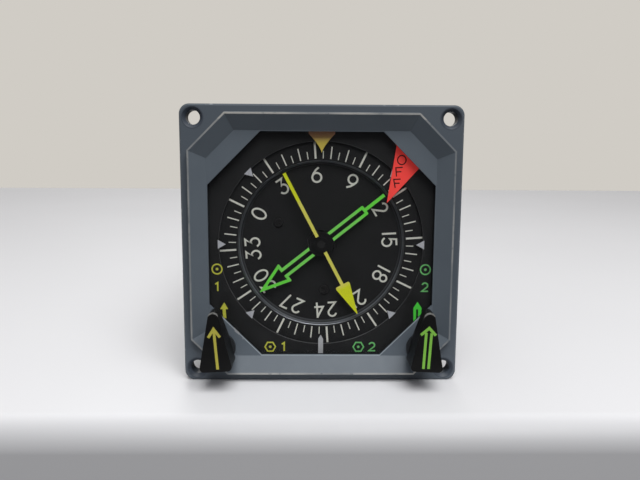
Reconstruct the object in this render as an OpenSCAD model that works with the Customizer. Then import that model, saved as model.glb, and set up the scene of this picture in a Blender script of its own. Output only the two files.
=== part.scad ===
// Radio magnetic indicator for a three-inch panel cut-out.
// X runs to the right of the dial, Z runs up and Y runs from the dial to the connector.
// The origin is the centre of the four panel screws, on the back face of the bezel's flange.

/* [Bezel] */
// Width and height of the square flange
bezel_w = 82.8; // [81:0.2:86]
// Radius of the flange's corners
bezel_corner_r = 3; // [2:0.5:4]
// Thickness of the flange
flange_t = 5; // [4.5:0.1:7]
// Chamfer along the flange's front edge
flange_edge = 0.5; // [0.3:0.1:0.8]
// Distance from the flange's edges to the middle of a panel screw hole
hole_inset = 3.9; // [3.7:0.1:4.5]
// Diameter of the panel screw holes
hole_d = 4.2; // [3:0.1:4.6]
// Diameter of the countersink round each panel hole
sink_d = 6; // [5:0.1:6.4]
// Distance from the flange's edge to the raised rim's crest
ridge_inset = 2.75; // [2:0.05:4]
// Distance from a panel screw hole's middle to the crest that passes it
ridge_past_hole = 5.9; // [5.4:0.1:6.4]
// Height of the crest above the flange
ridge_h = 2.4; // [1.5:0.1:4]
// Width of the flat crest
ridge_w = 0.5; // [0.3:0.1:1]
// How far the rim's outer wall leans outwards at its foot
rim_draft = 0.6; // [0.2:0.1:1]
// Depth from the crest to the window's surround
dish_depth = 3; // [2:0.1:4]
// Width of the sloping face inside the crest
slope_w = 4.95; // [4.5:0.05:5.5]

/* [Window] */
// Width of the flat floor between the slope and the window in the cut corners
corner_floor = 5.6; // [5:0.1:6.5]
// Thickness of the bezel's lip in front of the glass
lip_t = 0.8; // [0.6:0.1:1.2]
// Thickness of the window glass
glass_t = 0.8; // [0.6:0.1:1.6]
// Thickness of the seal under the glass
seal_t = 0.3; // [0.2:0.1:0.6]
// How far the glass reaches behind the bezel's lip
glass_lap = 1.6; // [1:0.1:2]

/* [Dial] */
// Width of the mask between the window's edge and the round opening
mask_rim = 2.7; // [2.4:0.1:3]
// Thickness of the mask
mask_t = 0.6; // [0.4:0.1:1]
// Room for the flag between the glass and the mask
flag_room = 0.8; // [0.7:0.1:1.2]
// Length of a fixed index mark
index_l = 2.2; // [1.5:0.1:3]
// Width of a fixed index mark at its foot
index_w = 2.8; // [2:0.1:4]
// Width of the lubber mark at the top
lubber_w = 7.8; // [6:0.1:9]
// How far the lubber mark reaches over the card
lubber_reach = 3.5; // [2:0.1:5]
// Width of the mark at the bottom
lower_mark_w = 1.5; // [1:0.1:3]
// How far the bottom mark reaches over the card
lower_mark_reach = 2.9; // [2:0.1:5]

/* [Compass card] */
// How far the card reaches behind the mask
card_lap = 1.4; // [0.8:0.1:1.8]
// Thickness of the card
card_t = 1.2; // [0.8:0.1:1.4]
// Width of the scale between the mask's opening and the card's step
scale_w = 5.7; // [5:0.1:6.5]
// Depth of the step
card_step_h = 2; // [1:0.1:2.2]
// Radius of the card's centre hole
card_bore_r = 4.2; // [4:0.1:5]
// Radius at which the card's screws stand
card_screw_r = 14.5; // [12:0.5:15]

/* [Pointers] */
// How far the pointers' tails and the double pointer's tip stop short of the scale
pointer_short = 1.1; // [0.9:0.1:4]
// How much farther the single pointer's tip reaches
single_reach = 0.5; // [0:0.1:0.6]
// Length of the double pointer's arrowhead, on whose base line the single one's also stands
head_l = 10.2; // [7:0.1:12]
// Width of the single pointer's arrowhead
single_head_w = 4.9; // [3:0.1:6]
// Width of the double pointer's arrowhead
double_head_w = 6.7; // [5:0.1:8]
// Width of the single pointer's bar and of the double pointer's tail
bar_w = 1; // [0.7:0.05:1.1]
// Width of the double pointer's two bars
double_bar_w = 0.9; // [0.7:0.05:1.1]
// Clear space between the double pointer's bars
bar_gap = 1.35; // [0.8:0.05:1.4]
// Length of the double pointer's plain tail
tail_l = 7.1; // [4:0.1:9]
// Radius of the double pointer's corners where the tail begins
fork_r = 0.45; // [0:0.05:0.8]
// Thickness of the pointers
pointer_t = 0.4; // [0.25:0.05:0.4]
// Radius of the double pointer's hub
double_hub_r = 3.8; // [3.4:0.1:5]
// Radius of the single pointer's hub
single_hub_r = 2.3; // [2:0.1:3]
// Bearing that the single pointer shows, in degrees clockwise from the top
single_bearing = 152.4; // [0:0.1:360]
// Bearing that the double pointer shows
double_bearing = 231.5; // [0:0.1:360]

/* [Warning flag] */
// Thickness of the flag
flag_t = 0.25; // [0.2:0.05:0.3]
// Length of the flag from its pivot to its tip
flag_l = 20; // [18:0.1:20.4]
// Radius of the flag's staff
staff_r = 0.8; // [0.5:0.05:1]
// Radius of the coil that pulls the flag away
flag_coil_r = 4.2; // [3.8:0.1:4.6]

/* [Knobs] */
// Length of a knob from tip to heel
knob_l = 17.1; // [15:0.1:19]
// Width of a knob's tip
knob_tip_w = 2.5; // [1.5:0.1:4]
// Width of a knob's heel
knob_heel_w = 9.7; // [8:0.1:10]
// Distance from a knob's axis to its heel
knob_heel = 4.3; // [4:0.1:5]
// Height of a knob
knob_h = 9.2; // [7:0.1:12]
// Radius of the round skirt under a knob
skirt_r = 4.8; // [4:0.1:5.4]
// Height of the skirt
skirt_h = 1.2; // [0.8:0.1:2]
// Distance from the window's cut corner to a knob's axis
knob_inset = 6.3; // [6:0.1:6.8]
// Radius of a knob's shaft
knob_shaft_r = 1.6; // [1.2:0.05:1.8]
// Lean of the left knob away from the dial
left_lean = 3; // [0:0.5:10]
// Lean of the right knob away from the dial
right_lean = 2.5; // [0:0.5:10]
// Radius of a selector switch
switch_r = 8; // [7.6:0.1:8.2]

/* [Case] */
// Distance from the flange's edge to the case's side
case_inset = 2.15; // [1.9:0.05:2.6]
// Depth of the seat that holds the case in the back of the flange
seat_depth = 0.5; // [0.3:0.1:0.8]
// Thickness of the case's wall
case_t = 1.2; // [0.8:0.1:1.3]
// Length of the case behind the flange
case_l = 172; // [168:1:210]
// Room round a panel screw for its nut
nut_room = 4.7; // [4.3:0.1:4.9]
// Radius of the case's long edges
case_edge_r = 2.5; // [1:0.5:4]
// Thickness of the rear cover
cover_t = 3.2; // [2:0.1:5]
// Thickness of the rear cover's gasket
gasket_t = 0.8; // [0.5:0.1:1.2]
// Depth of the cover's spigot inside the case
spigot_l = 7; // [5:0.5:10]
// Radius of the shank of a case screw
case_screw_r = 0.8; // [0.6:0.05:0.9]

/* [Connector] */
// Outer radius of the connector's shell
plug_r = 11; // [11:0.5:14]
// Thickness of the connector's shell
plug_t = 1.4; // [1:0.1:2]
// Length of the shell behind the cover
plug_l = 13; // [10:0.5:18]
// Width of the connector's square flange
plug_flange_w = 27; // [26:0.5:36]
// Radius of a contact pin
pin_r = 0.5; // [0.4:0.05:0.7]
// Rings of pins round the middle one
pin_rings = 2; // [1:1:2]

/* [Gears] */
// Least room between the heading gear and the case's wall
gear_room = 1.3; // [1:0.1:2]
// Teeth of the card gear and of the heading gear
card_teeth = 60; // [56:4:60]
// Teeth of the idler's pinion and of the motor's pinion
pinion_teeth = 15; // [14:1:16]
// Teeth of the idler's large gear
idler_teeth = 45; // [42:1:46]
// Width of the gears
gear_w = 3; // [2:0.1:3.2]
// Backlash between two gears
backlash = 0.06; // [0.04:0.01:0.1]

/* [Mechanism] */
// Thickness of the front frame behind the flange
frame_t = 2.8; // [2.4:0.1:3]
// Distance from the flange to the bearing plate
bearing_plate_y = 12; // [12:0.5:14]
// Thickness of the bearing plate
bearing_plate_t = 3.5; // [3.4:0.1:5]
// Thickness of the middle plate and of the end plate
plate_t = 3; // [2:0.1:4]
// Length of a synchro or motor body
unit_l = 30; // [26:0.5:34]
// Radius of the pointer synchros
big_unit_r = 13.5; // [13:0.1:14]
// Radius of the heading synchro and of the motor
small_unit_r = 9.5; // [8.5:0.1:9.8]
// Outer radius of the double pointer's hollow shaft
hollow_shaft_r = 2.6; // [2.5:0.05:2.7]
// Radius of the single pointer's shaft
inner_shaft_r = 1.7; // [1.4:0.05:1.8]
// Outer radius of the card hub's tube
hub_tube_r = 5.5; // [5.2:0.1:5.8]
// Radius of a bearing ball
ball_r = 1.2; // [1.1:0.05:1.25]
// Number of bearing balls
balls = 12; // [8:1:14]
// Radius of the posts between the plates
post_r = 2.2; // [1.8:0.1:2.4]
// Clear space between the circuit boards and the rear cover
board_gap = 5.5; // [4:0.5:20]
// Height of the circuit boards
board_h = 46; // [44:1:50]
// Thickness of the circuit boards
board_t = 1.6; // [1:0.1:2]

/* [Fits] */
// Radial clearance of a shaft that turns in its bore
run_fit = 0.05; // [0.03:0.01:0.08]
// Clearance of a part that is dropped into a pocket
pocket_fit = 0.15; // [0.1:0.01:0.2]

/* [Hidden] */
$fn = 64;
reach = 200;

// Places along Y, from the front to the back
rim_y = -flange_t - ridge_h;
floor_y = rim_y + dish_depth;
lip_y = floor_y + lip_t;
glass_y = lip_y + seal_t;
glass_back = glass_y + glass_t;
mask_y = glass_back + flag_room;
frame_y = mask_y + mask_t;
card_gap = 0.4;
card_y = frame_y + card_gap;
pointer_gap = 0.3;
single_y = mask_y;
double_y = single_y + pointer_t + pointer_gap;
flag_gap = (flag_room - flag_t) / 2;
flag_y = glass_back + flag_gap;
disc_y = card_y + card_step_h;
hub_y = disc_y + card_t;
hub_flange_t = 1.7;
gear_y = hub_y + hub_flange_t;
gear_step = 0.8;
idler_y = gear_y + gear_w + gear_step;
plate_back = bearing_plate_y + bearing_plate_t;
middle_y = plate_back + unit_l;
rear_unit_y = middle_y + plate_t;
end_y = rear_unit_y + unit_l;
bay_y = end_y + plate_t;
cover_y = case_l + gasket_t;
cover_back = cover_y + cover_t;

// Distances from the centre to the flats and to the cut corners
hole_half = bezel_w / 2 - hole_inset;
hole_cut = hole_half * sqrt(2);
ridge_half = bezel_w / 2 - ridge_inset;
ridge_cut = hole_cut - ridge_past_hole;
window_half = ridge_half - slope_w;
window_cut = ridge_cut - slope_w - corner_floor;
case_half = bezel_w / 2 - case_inset;
case_cut = hole_cut - nut_room;
bore_half = case_half - case_t;
bore_cut = case_cut - case_t;
bore_edge_r = max(case_edge_r - case_t, 0.3);
pocket_half = bore_half - 1.25;
pocket_cut = bore_cut - 0.3;
glass_half = window_half + glass_lap;
glass_cut = window_cut + glass_lap;
foot_ledge = 0.2;
seal_inset = 0.1;
spacer_inset = 0.5;
plate_room = 0.6;
spigot_t = 3;
cover_edge = 0.6;
sink_depth = (sink_d - hole_d) / 2;

// Clearance of a piece fixed in its hole, and of a hole that something only passes
seat_fit = 0.02;
hole_room = 0.2;

// Places and sizes in the plane of the dial
dial_r = window_half - mask_rim;
card_step_r = dial_r - scale_w;
pointer_r = card_step_r - pointer_short;
lubber_tip_r = dial_r - lubber_reach;
lower_mark_r = dial_r - lower_mark_reach;
knob_place = (window_cut + knob_inset) / sqrt(2);
switch_inset = 4;
switch_place = (window_cut + knob_inset - switch_inset) / sqrt(2);
flag_pivot = [window_cut * sqrt(2) - window_half + 4, window_half - 1.2];
flag_ear_r = 1.8;
card_r = dial_r + card_lap;
frame_bore_r = card_r + 1;
top_screw = [window_half - 5.2, pocket_half - 1.6];
low_screw = [bore_half - 3.25, 11.2 - window_half];
rim_post_r = 1.8;
rim_post = (frame_bore_r + bore_half) / 2 - 0.1;
corner_post = [bore_half - 4.55, 13.6];
side_screw = 20;
lamp_place = (window_cut + 3.5) / sqrt(2);
lamp_r = 1.2;
lamp_y = mask_y + lamp_r + 0.1;
mark_t = 0.2;
mark_end = window_half + 0.3;
lubber_top = window_half - 0.6;
bushing_r = knob_shaft_r + 1;
bushing_flange_t = 1;
switch_y = frame_t + bushing_flange_t;
switch_rotor_r = 2.9;
knob_gap = 0.4;
knob_y = rim_y - knob_gap - knob_h;
knob_crown = 1.8;

// Screws
frame_screw_r = 0.8;
frame_screw_l = 6.5;
side_screw_l = 3.2;
case_head_r = 1.35;
case_head_h = 0.55;
rear_screw_y = case_l - spigot_l / 2;
card_shank_r = 0.7;

// Bearings, shafts and the bodies that they run in
track_r = hub_tube_r + 1;
ring_r = hub_tube_r + 2;
race_r = ring_r + 1.5;
bearing_y = bearing_plate_y + bearing_plate_t / 2;
hub_bore_r = hollow_shaft_r + 0.6;
hollow_step_r = (hollow_shaft_r + inner_shaft_r + run_fit) / 2;
inner_step_r = inner_shaft_r - 0.6;
middle_bore_r = 6;
unit_wall = 2.5;
cap_t = 3;
spindle_r = 1.2;
pilot_r = 4;
pilot_l = bearing_plate_t - 0.5;
rotor_room = 3.5;
rotor_y = unit_wall + rotor_room;
rotor_gap = 0.5;
bush_r = 2.5;
bush_tail = 2.6;
bush_flange_t = 0.7;
lightening_place = 24;
lightening_r = 4;
wire_hole_r = 4;
coil_y = frame_t + 1.9;
magnet_r = 2.8;

// The electronics bay and the connector
rail_w = 3;
board_x = bore_half - 6.05;
board_room = 2;
board_l = case_l - spigot_l - board_gap - bay_y - board_room;
chip = [4.2, 7, 15];
chip_place = 5;
can_r = 4.5;
can_h = 13;
core = [30, 26, 24];
core_window = [7, 15];
coil = [22, 13, 32];
plug_flange_t = 2;
plug_screw_place = plug_flange_w / 2 - 3;
plug_screw_r = 1.25;
plug_screw_l = 2.4;
pin_pitch = 3.4;
pin_tail = 4;
pin_recess = 4.5;

// Gear sizes: the pitch radius is half the module for each tooth, and the heading gear fits beside the wall
gear_module = floor(100 * (bore_half - gear_room) / (card_teeth / 2 * (1 + sqrt(2)) + 0.9)) / 100;
card_pitch_r = gear_module * card_teeth / 2;
pinion_pitch_r = gear_module * pinion_teeth / 2;
idler_pitch_r = gear_module * idler_teeth / 2;
heading_angle = 135;
idler_angle = -25;
motor_angle = 50;
heading_place = polar(2 * card_pitch_r, heading_angle);
idler_place = polar(card_pitch_r + pinion_pitch_r, idler_angle);
motor_place = idler_place + polar(idler_pitch_r + pinion_pitch_r, motor_angle);

function polar(r, a) = r * [cos(a), sin(a)];
function unit(v) = v / norm(v);

// Outline with eight sides: flats at a distance, cut corners at another, upper and lower ones apart
function sides(half, upper, lower) = [half, upper, half, upper, half, lower, half, lower];
function even_sides(half, cut) = sides(half, cut, cut);
function pocket_sides(by) = grown(sides(pocket_half, pocket_cut, glass_cut + 0.35), by);
function grown(ds, by) = [for (d = ds) d + by];
function meet(a, e, f) = [(e * sin(a + 45) - f * sin(a)) / sin(45), (f * cos(a) - e * cos(a + 45)) / sin(45)];
function octagon(ds) = [for (k = [0:7]) meet(45 * k, ds[k], ds[(k + 1) % 8])];
function soft_octagon(ds, r, steps = 4) = [
    for (k = [0:7]) for (s = [0:steps])
        meet(45 * k, ds[k] - r, ds[(k + 1) % 8] - r) + polar(r, 45 * (k + s / steps))
];

// Outline with rounded corners: one radius for each point
function corner(a, p, b, r, steps) = r <= 0 ? [p] :
    let (u = unit(a - p), v = unit(b - p), half = acos(u * v) / 2,
        c = p + unit(u + v) * r / sin(half), s = p + u * r / tan(half) - c, e = p + v * r / tan(half) - c,
        from = atan2(s[1], s[0]), turn = (atan2(e[1], e[0]) - from + 540) % 360 - 180)
    [for (i = [0:steps]) c + polar(r, from + turn * i / steps)];
function rounded(points, radii, steps = 5) = [
    for (i = [0:len(points) - 1]) each corner(points[(i + len(points) - 1) % len(points)], points[i],
        points[(i + 1) % len(points)], radii[i], steps)
];

// Involute tooth outline: the flank leaves the base circle, and below it the side runs to the root
pressure_angle = 20;
function involute(a) = tan(a) * 180 / PI - a;
function half_tooth(z, rho) =
    let (r = gear_module * z / 2, a = acos(min(1, r * cos(pressure_angle) / rho)))
    90 / z - backlash / 2 / r * 90 / PI + involute(pressure_angle) - involute(a);
function gear_outline(z, steps = 4) =
    let (r = gear_module * z / 2, tip = r + 0.9 * gear_module, root = r - 1.2 * gear_module,
        low = max(root, r * cos(pressure_angle)),
        radii = concat(low > root ? [root] : [], [for (i = [0:steps]) low + (tip - low) * i / steps]))
    [for (k = [0:z - 1]) each concat(
        [for (i = [0:len(radii) - 1]) polar(radii[i], 360 / z * k - half_tooth(z, max(radii[i], low)))],
        [for (i = [len(radii) - 1:-1:0]) polar(radii[i], 360 / z * k + half_tooth(z, max(radii[i], low)))])];
// Turn of a gear that meshes with another one, which stands in the direction a of it
function mesh_turn(a, turn, teeth, own) = a + 180 + (a - turn) * teeth / own - 180 / own;
idler_turn = mesh_turn(idler_angle, 0, card_teeth, pinion_teeth);
motor_turn = mesh_turn(motor_angle, idler_turn, idler_teeth, pinion_teeth);
heading_turn = mesh_turn(heading_angle, 0, card_teeth, card_teeth);

// A plate drawn as it looks from the front, from y to y + t
module plate(y, t) translate([0, y + t, 0]) rotate([90, 0, 0]) linear_extrude(t) children();
module eight(ds) polygon(octagon(ds));
// Outline of the case, made smaller, and outline that lies a little inside its bore
module case_outline(by) polygon(soft_octagon(even_sides(case_half - by, case_cut - by), case_edge_r));
module inside(by) polygon(soft_octagon(even_sides(bore_half - by, bore_cut - by), bore_edge_r));
// A round bar along Y at a place in the dial's plane, and a cone of two radii
module bar(p, y, l, r) translate([p[0], y + l, p[1]]) rotate([90, 0, 0]) cylinder(h = l, r = r);
module cone(p, y, l, r, r_back) translate([p[0], y, p[1]]) rotate([-90, 0, 0]) cylinder(h = l, r1 = r, r2 = r_back);
// A turned piece, drawn as half a section with its radius first and its place along Y second
module turned(p = [0, 0])
    translate([p[0], 0, p[1]]) rotate([90, 0, 0]) rotate_extrude($fn = 128) mirror([0, 1, 0]) children();
module mirrored() {
    children();
    mirror([1, 0, 0]) children();
}
module gear(p, y, w, z, turn) plate(y, w) translate(p) rotate(turn) polygon(gear_outline(z));

// Eight-sided block whose sides lean from one outline to another
module leaning_block(front, y0, back, y1)
    intersection_for (k = [0:7]) rotate([0, -45 * k, 0])
        linear_extrude(2 * reach, center = true)
            polygon([[-reach, y0], [front[k], y0], [back[k], y1], [-reach, y1]]);

// Square plate with round corners and a chamfer along its front edge
module flange(w, r, t, c) {
    h = w / 2;
    for (a = [0, 90]) rotate([0, a, 0]) linear_extrude(w - 2 * r, center = true)
        polygon([[-h, 0], [h, 0], [h, c - t], [h - c, -t], [c - h, -t], [-h, c - t]]);
    for (x = [-1, 1], z = [-1, 1]) {
        bar([x, z] * (h - r), c - t, t - c, r);
        cone([x, z] * (h - r), -t, c, r - c, r);
    }
}

// Hollow of the rim: it slopes from the crest to the window and leaves a flat floor in the cut corners
module dish() {
    crest = even_sides(ridge_half - ridge_w / 2, ridge_cut - ridge_w / 2);
    foot = even_sides(window_half + foot_ledge, ridge_cut - slope_w);
    leaning_block(crest + (crest - foot) / dish_depth, rim_y - 1, foot, floor_y);
}

module bezel() color("slategray") difference() {
    crest = even_sides(ridge_half, ridge_cut);
    union() {
        flange(bezel_w, bezel_corner_r, flange_t, flange_edge);
        leaning_block(grown(crest, ridge_w / 2), rim_y, grown(crest, ridge_w / 2 + rim_draft), -flange_t / 2);
    }
    dish();
    plate(rim_y - 1, reach) eight(even_sides(window_half, window_cut));
    plate(lip_y, reach) eight(even_sides(glass_half + pocket_fit, glass_cut + pocket_fit));
    plate(glass_back, reach) eight(pocket_sides(0));
    plate(-seat_depth, reach) case_outline(-pocket_fit);
    for (x = [-1, 1], z = [-1, 1]) {
        bar([x, z] * hole_half, -reach / 2, reach, hole_d / 2);
        cone([x, z] * hole_half, -flange_t, sink_depth, sink_d / 2, hole_d / 2);
        bar([x, z] * hole_half, -flange_t - reach, reach, sink_d / 2);
    }
    mirrored() {
        bar([knob_place, -knob_place], -reach / 2, reach, bushing_r + seat_fit);
        for (p = [top_screw, low_screw]) bar(p, frame_t - frame_screw_l, reach, frame_screw_r + seat_fit);
    }
}

module window_seal() color("dimgray") plate(lip_y, seal_t) difference() {
    eight(even_sides(glass_half, glass_cut));
    eight(even_sides(window_half + seal_inset, window_cut + seal_inset));
}

module window_glass() color("lightcyan", 0.3) plate(glass_y, glass_t) eight(even_sides(glass_half, glass_cut));

// The spacer keeps the glass off the mask, and its upper right corner is open for the flag to swing away
module spacer_frame() color("dimgray") plate(glass_back, flag_room) difference() {
    eight(pocket_sides(-pocket_fit));
    eight(even_sides(window_half + spacer_inset, window_cut + spacer_inset));
    translate(flag_pivot) circle(flag_ear_r + 0.5);
    intersection() {
        translate(flag_pivot) circle(flag_l + 0.8);
        translate(flag_pivot + [-flag_l / 2, 1.4 - 2 * flag_l]) square(2 * flag_l);
    }
    mirrored() translate(top_screw) circle(frame_screw_r + hole_room);
}

// The mask has the round opening and a small pointed mark at each eighth turn but the top and the bottom
module mask_plate() color("black") plate(mask_y, mask_t) {
    difference() {
        eight(pocket_sides(-pocket_fit));
        circle(dial_r);
        translate(flag_pivot) circle(staff_r + hole_room);
        mirrored() {
            translate(top_screw) circle(frame_screw_r + hole_room);
            translate([lamp_place, lamp_place]) circle(lamp_r + hole_room);
        }
    }
    for (k = [1, 2, 3, 5, 6, 7]) rotate(45 * k)
        polygon([[index_w / 2, dial_r + 0.3], [-index_w / 2, dial_r + 0.3], [0, dial_r - index_l]]);
}

// Lubber mark: a flat triangle with hollow sides, point down over the card
module lubber_mark() color("darkgoldenrod") plate(mask_y - mark_t, mark_t) {
    side = [for (i = [0:8]) [lubber_w / 2 * pow(1 - i / 8, 1.4), lubber_top - (lubber_top - lubber_tip_r) * i / 8]];
    polygon(concat([[-lubber_w / 2, mark_end]], [for (p = side) [-p[0], p[1]]],
        [for (i = [7:-1:0]) side[i]], [[lubber_w / 2, mark_end]]));
}

module lower_mark() color("lightgray") plate(mask_y - mark_t, mark_t) polygon([
    [-lower_mark_w / 2, -mark_end], [lower_mark_w / 2, -mark_end], [lower_mark_w / 2, -lower_mark_r - lower_mark_w * 0.9],
    [0, -lower_mark_r], [-lower_mark_w / 2, -lower_mark_r - lower_mark_w * 0.9]
]);

// The front frame clamps mask, spacer and glass into the bezel, and carries the mechanism and the case
module front_frame() color("silver") difference() {
    union() {
        plate(frame_y, -frame_y) eight(pocket_sides(-pocket_fit));
        plate(-seat_depth, seat_depth + frame_t) inside(pocket_fit);
    }
    bar([0, 0], -reach / 2, reach, frame_bore_r);
    bar(flag_pivot, -reach / 2, reach, staff_r + hole_room);
    mirrored() {
        bar([knob_place, -knob_place], -reach / 2, reach, bushing_r + seat_fit);
        bar([lamp_place, lamp_place], -reach / 2, reach, lamp_r + seat_fit);
        for (p = [top_screw, low_screw]) bar(p, -reach / 2, reach, frame_screw_r + seat_fit);
    }
    side_screws(frame_t / 2, seat_fit);
}

// A round-headed screw along Y: its head stands behind y and its shank runs forward
module screw(p, y, r, l, head_r, head_h) {
    bar(p, y - l, l + head_h / 2, r);
    bar(p, y, head_h, head_r);
}
module frame_screws() color("dimgray") mirrored()
    for (p = [top_screw, low_screw]) screw(p, frame_t, frame_screw_r, frame_screw_l, 1.5, 0.9);

// Eight countersunk screws in the case's four flats
module side_screws(y, by)
    for (a = [0:90:270], s = [-1, 1]) rotate([0, a, 0]) translate([s * side_screw, y, case_half]) {
        translate([0, 0, -side_screw_l]) cylinder(h = side_screw_l, r = case_screw_r + by);
        translate([0, 0, -case_head_h]) cylinder(h = case_head_h, r1 = case_screw_r + by, r2 = case_head_r + by);
        if (by > 0) translate([0, 0, -by]) cylinder(h = 2 * by, r = case_head_r + by);
    }

module dial_lamps() color("lightyellow") mirrored() {
    bar([lamp_place, lamp_place], lamp_y, frame_t - lamp_y + 0.8, lamp_r);
    translate([lamp_place, lamp_y, lamp_place]) intersection() {
        sphere(lamp_r);
        translate([0, -lamp_r, 0]) cube(2 * lamp_r, center = true);
    }
}

module knob_bushings() color("goldenrod") mirrored() difference() {
    union() {
        bar([knob_place, -knob_place], floor_y, frame_t - floor_y, bushing_r);
        bar([knob_place, -knob_place], frame_t, bushing_flange_t, bushing_r + 1.2);
    }
    bar([knob_place, -knob_place], -reach / 2, reach, knob_shaft_r + run_fit);
}

// Selector switch: the shaft passes it near its edge, because the case's cut corner is close
module switch_body() difference() {
    bar([switch_place, -switch_place], switch_y, bearing_plate_y - switch_y, switch_r);
    bar([knob_place, -knob_place], switch_y - 1, bearing_plate_y - switch_y, knob_shaft_r + run_fit);
    bar([knob_place, -knob_place], switch_y + 1, bearing_plate_y - switch_y - 2, switch_rotor_r + 0.3);
    for (k = [0:3]) bar([switch_place, -switch_place] + polar(switch_r - 1.6, 135 + 30 * (k - 1.5)),
        switch_y - 1, 2, 0.5);
}
module left_switch() color("darkolivegreen") mirror([1, 0, 0]) switch_body();
module right_switch() color("darkolivegreen") switch_body();

module front_posts() color("silver")
    for (a = [0:90:270]) bar(polar(rim_post, a), frame_t, bearing_plate_y - frame_t, rim_post_r);

module bearing_plate() color("silver") plate(bearing_plate_y, bearing_plate_t) difference() {
    inside(plate_room);
    circle(race_r + seat_fit);
    for (p = [heading_place, motor_place]) translate(p) circle(pilot_r + seat_fit);
    translate(idler_place) circle(bush_r + seat_fit);
    for (a = [20, 75, 200, 250]) translate(polar(lightening_place, a)) circle(lightening_r);
}

// Half section of the ball track between the hub's tube and the bearing's ring
module ball_track() translate([track_r, bearing_y]) circle(ball_r + run_fit);
module card_bearing() color("lightsteelblue") turned() difference() {
    translate([ring_r, bearing_plate_y]) square([race_r - ring_r, bearing_plate_t]);
    ball_track();
}
module bearing_balls() color("lightsteelblue") for (k = [0:balls - 1])
    translate([0, bearing_y, 0]) rotate([0, 360 / balls * k, 0]) translate([track_r, 0, 0]) sphere(ball_r);

module idler_bush() color("goldenrod") difference() {
    union() {
        bar(idler_place, bearing_plate_y, bearing_plate_t + bush_tail, bush_r);
        bar(idler_place, bearing_plate_y - bush_flange_t, bush_flange_t, bush_r + 0.8);
    }
    bar(idler_place, 0, reach, spindle_r + run_fit);
}

module flag_coil() color("peru") turned(flag_pivot) difference() {
    translate([0, coil_y]) square([flag_coil_r, bearing_plate_y - coil_y]);
    translate([0, coil_y + 1]) square([magnet_r + 0.3, bearing_plate_y - coil_y - 2]);
    translate([0, coil_y - 1]) square([staff_r + run_fit, bearing_plate_y - coil_y + 0.5]);
}

// Synchro body: a turned cup with a clamping groove near its front, closed at the back by a cap
module synchro_body(y, r, l, shaft_r) turned() difference() {
    polygon([[shaft_r + run_fit, y], [r, y], [r, y + 2], [r - 0.8, y + 2], [r - 0.8, y + 3.2], [r, y + 3.2],
        [r, y + l - 1], [r - 1, y + l], [shaft_r + run_fit, y + l]]);
    translate([0, y + unit_wall]) square([r - unit_wall, l]);
}
module synchro_cap(y, r, shaft_r) turned()
    polygon([[shaft_r + run_fit, y - unit_wall], [r - unit_wall - seat_fit, y - unit_wall],
        [r - unit_wall - seat_fit, y], [r, y], [r, y + cap_t - 1], [r - 1, y + cap_t], [shaft_r + run_fit, y + cap_t]]);
// Two-pole rotor: a round stack with a slot on each side for its winding
module synchro_rotor(y, l, r, shaft_r) plate(y, l) difference() {
    circle(r);
    circle(shaft_r + 0.01);
    for (s = [-1, 1]) translate([s * r, 0]) square([r * 0.9, r * 0.8], center = true);
}
module front_synchro_body() color("gray") synchro_body(plate_back, big_unit_r, unit_l - cap_t, hollow_shaft_r);
module front_synchro_cap() color("darkgray") synchro_cap(middle_y - cap_t, big_unit_r, hollow_shaft_r);
module rear_synchro_body() color("gray") synchro_body(rear_unit_y, big_unit_r, unit_l - cap_t, inner_shaft_r);
module rear_synchro_cap() color("darkgray") synchro_cap(end_y - cap_t, big_unit_r, inner_shaft_r);

// A plate across the case behind the bearing plate, held on the posts
module cross_plate(y) plate(y, plate_t) difference() {
    inside(plate_room);
    children();
}
module middle_plate() color("silver") cross_plate(middle_y) {
    circle(middle_bore_r);
    for (p = [heading_place, motor_place]) translate(p) circle(spindle_r + run_fit);
    for (x = [-1, 1]) translate([x * 20, -24]) circle(wire_hole_r);
}
module end_plate() color("silver") cross_plate(end_y) {
    for (x = [-1, 1], z = [-1, 1]) translate([x * 20, z * 24]) circle(wire_hole_r);
}
module mechanism_posts() color("silver") for (x = [-1, 1], z = [-1, 1], y = [plate_back, rear_unit_y])
    bar([x * corner_post[0], z * corner_post[1]], y, unit_l, post_r);

// Small body of the heading synchro or the motor: its pilot centres it in the bearing plate
module small_body(p) turned(p) difference() {
    polygon([[spindle_r + run_fit, plate_back - pilot_l], [pilot_r, plate_back - pilot_l], [pilot_r, plate_back],
        [small_unit_r, plate_back], [small_unit_r, middle_y], [spindle_r + run_fit, middle_y]]);
    translate([0, plate_back + unit_wall]) square([small_unit_r - unit_wall, unit_l]);
}
module heading_synchro_body() color("gray") small_body(heading_place);
module servo_motor_body() color("darkslategray") small_body(motor_place);

// Rails, boards and transformer stand in the bay behind the mechanism
module board_rails() color("silver") for (x = [-1, 1], z = [-1, 1])
    translate([x * (board_x + rail_w / 2) - rail_w / 2, bay_y, z * corner_post[1] - rail_w / 2])
        cube([rail_w, board_l + board_room, rail_w]);
module board_with_parts() translate([board_x - board_t, bay_y + board_room, 0]) {
    translate([0, 0, -board_h / 2]) cube([board_t, board_l, board_h]);
    for (i = [0:3], z = [chip_place, -chip_place - chip[2]])
        translate([-chip[0], board_l * (i + 0.5) / 4 - chip[1] / 2, z]) cube(chip + [board_t / 2, 0, 0]);
    for (i = [0:2]) translate([board_t / 2, board_l * (i + 0.5) / 3, 0])
        rotate([0, -90, 0]) cylinder(h = can_h + board_t / 2, r = can_r);
}
module left_board() color("forestgreen") mirror([1, 0, 0]) board_with_parts();
module right_board() color("forestgreen") board_with_parts();

module transformer() color("saddlebrown") translate([0, bay_y + core[1] / 2, 0]) {
    difference() {
        cube(core, center = true);
        for (x = [-1, 1]) translate([x * (core[0] / 2 - core_window[0] / 2 - 2.5), 0, 0])
            cube([core_window[0], core_window[1], core[2] + 1], center = true);
    }
    cube(coil, center = true);
}

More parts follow.
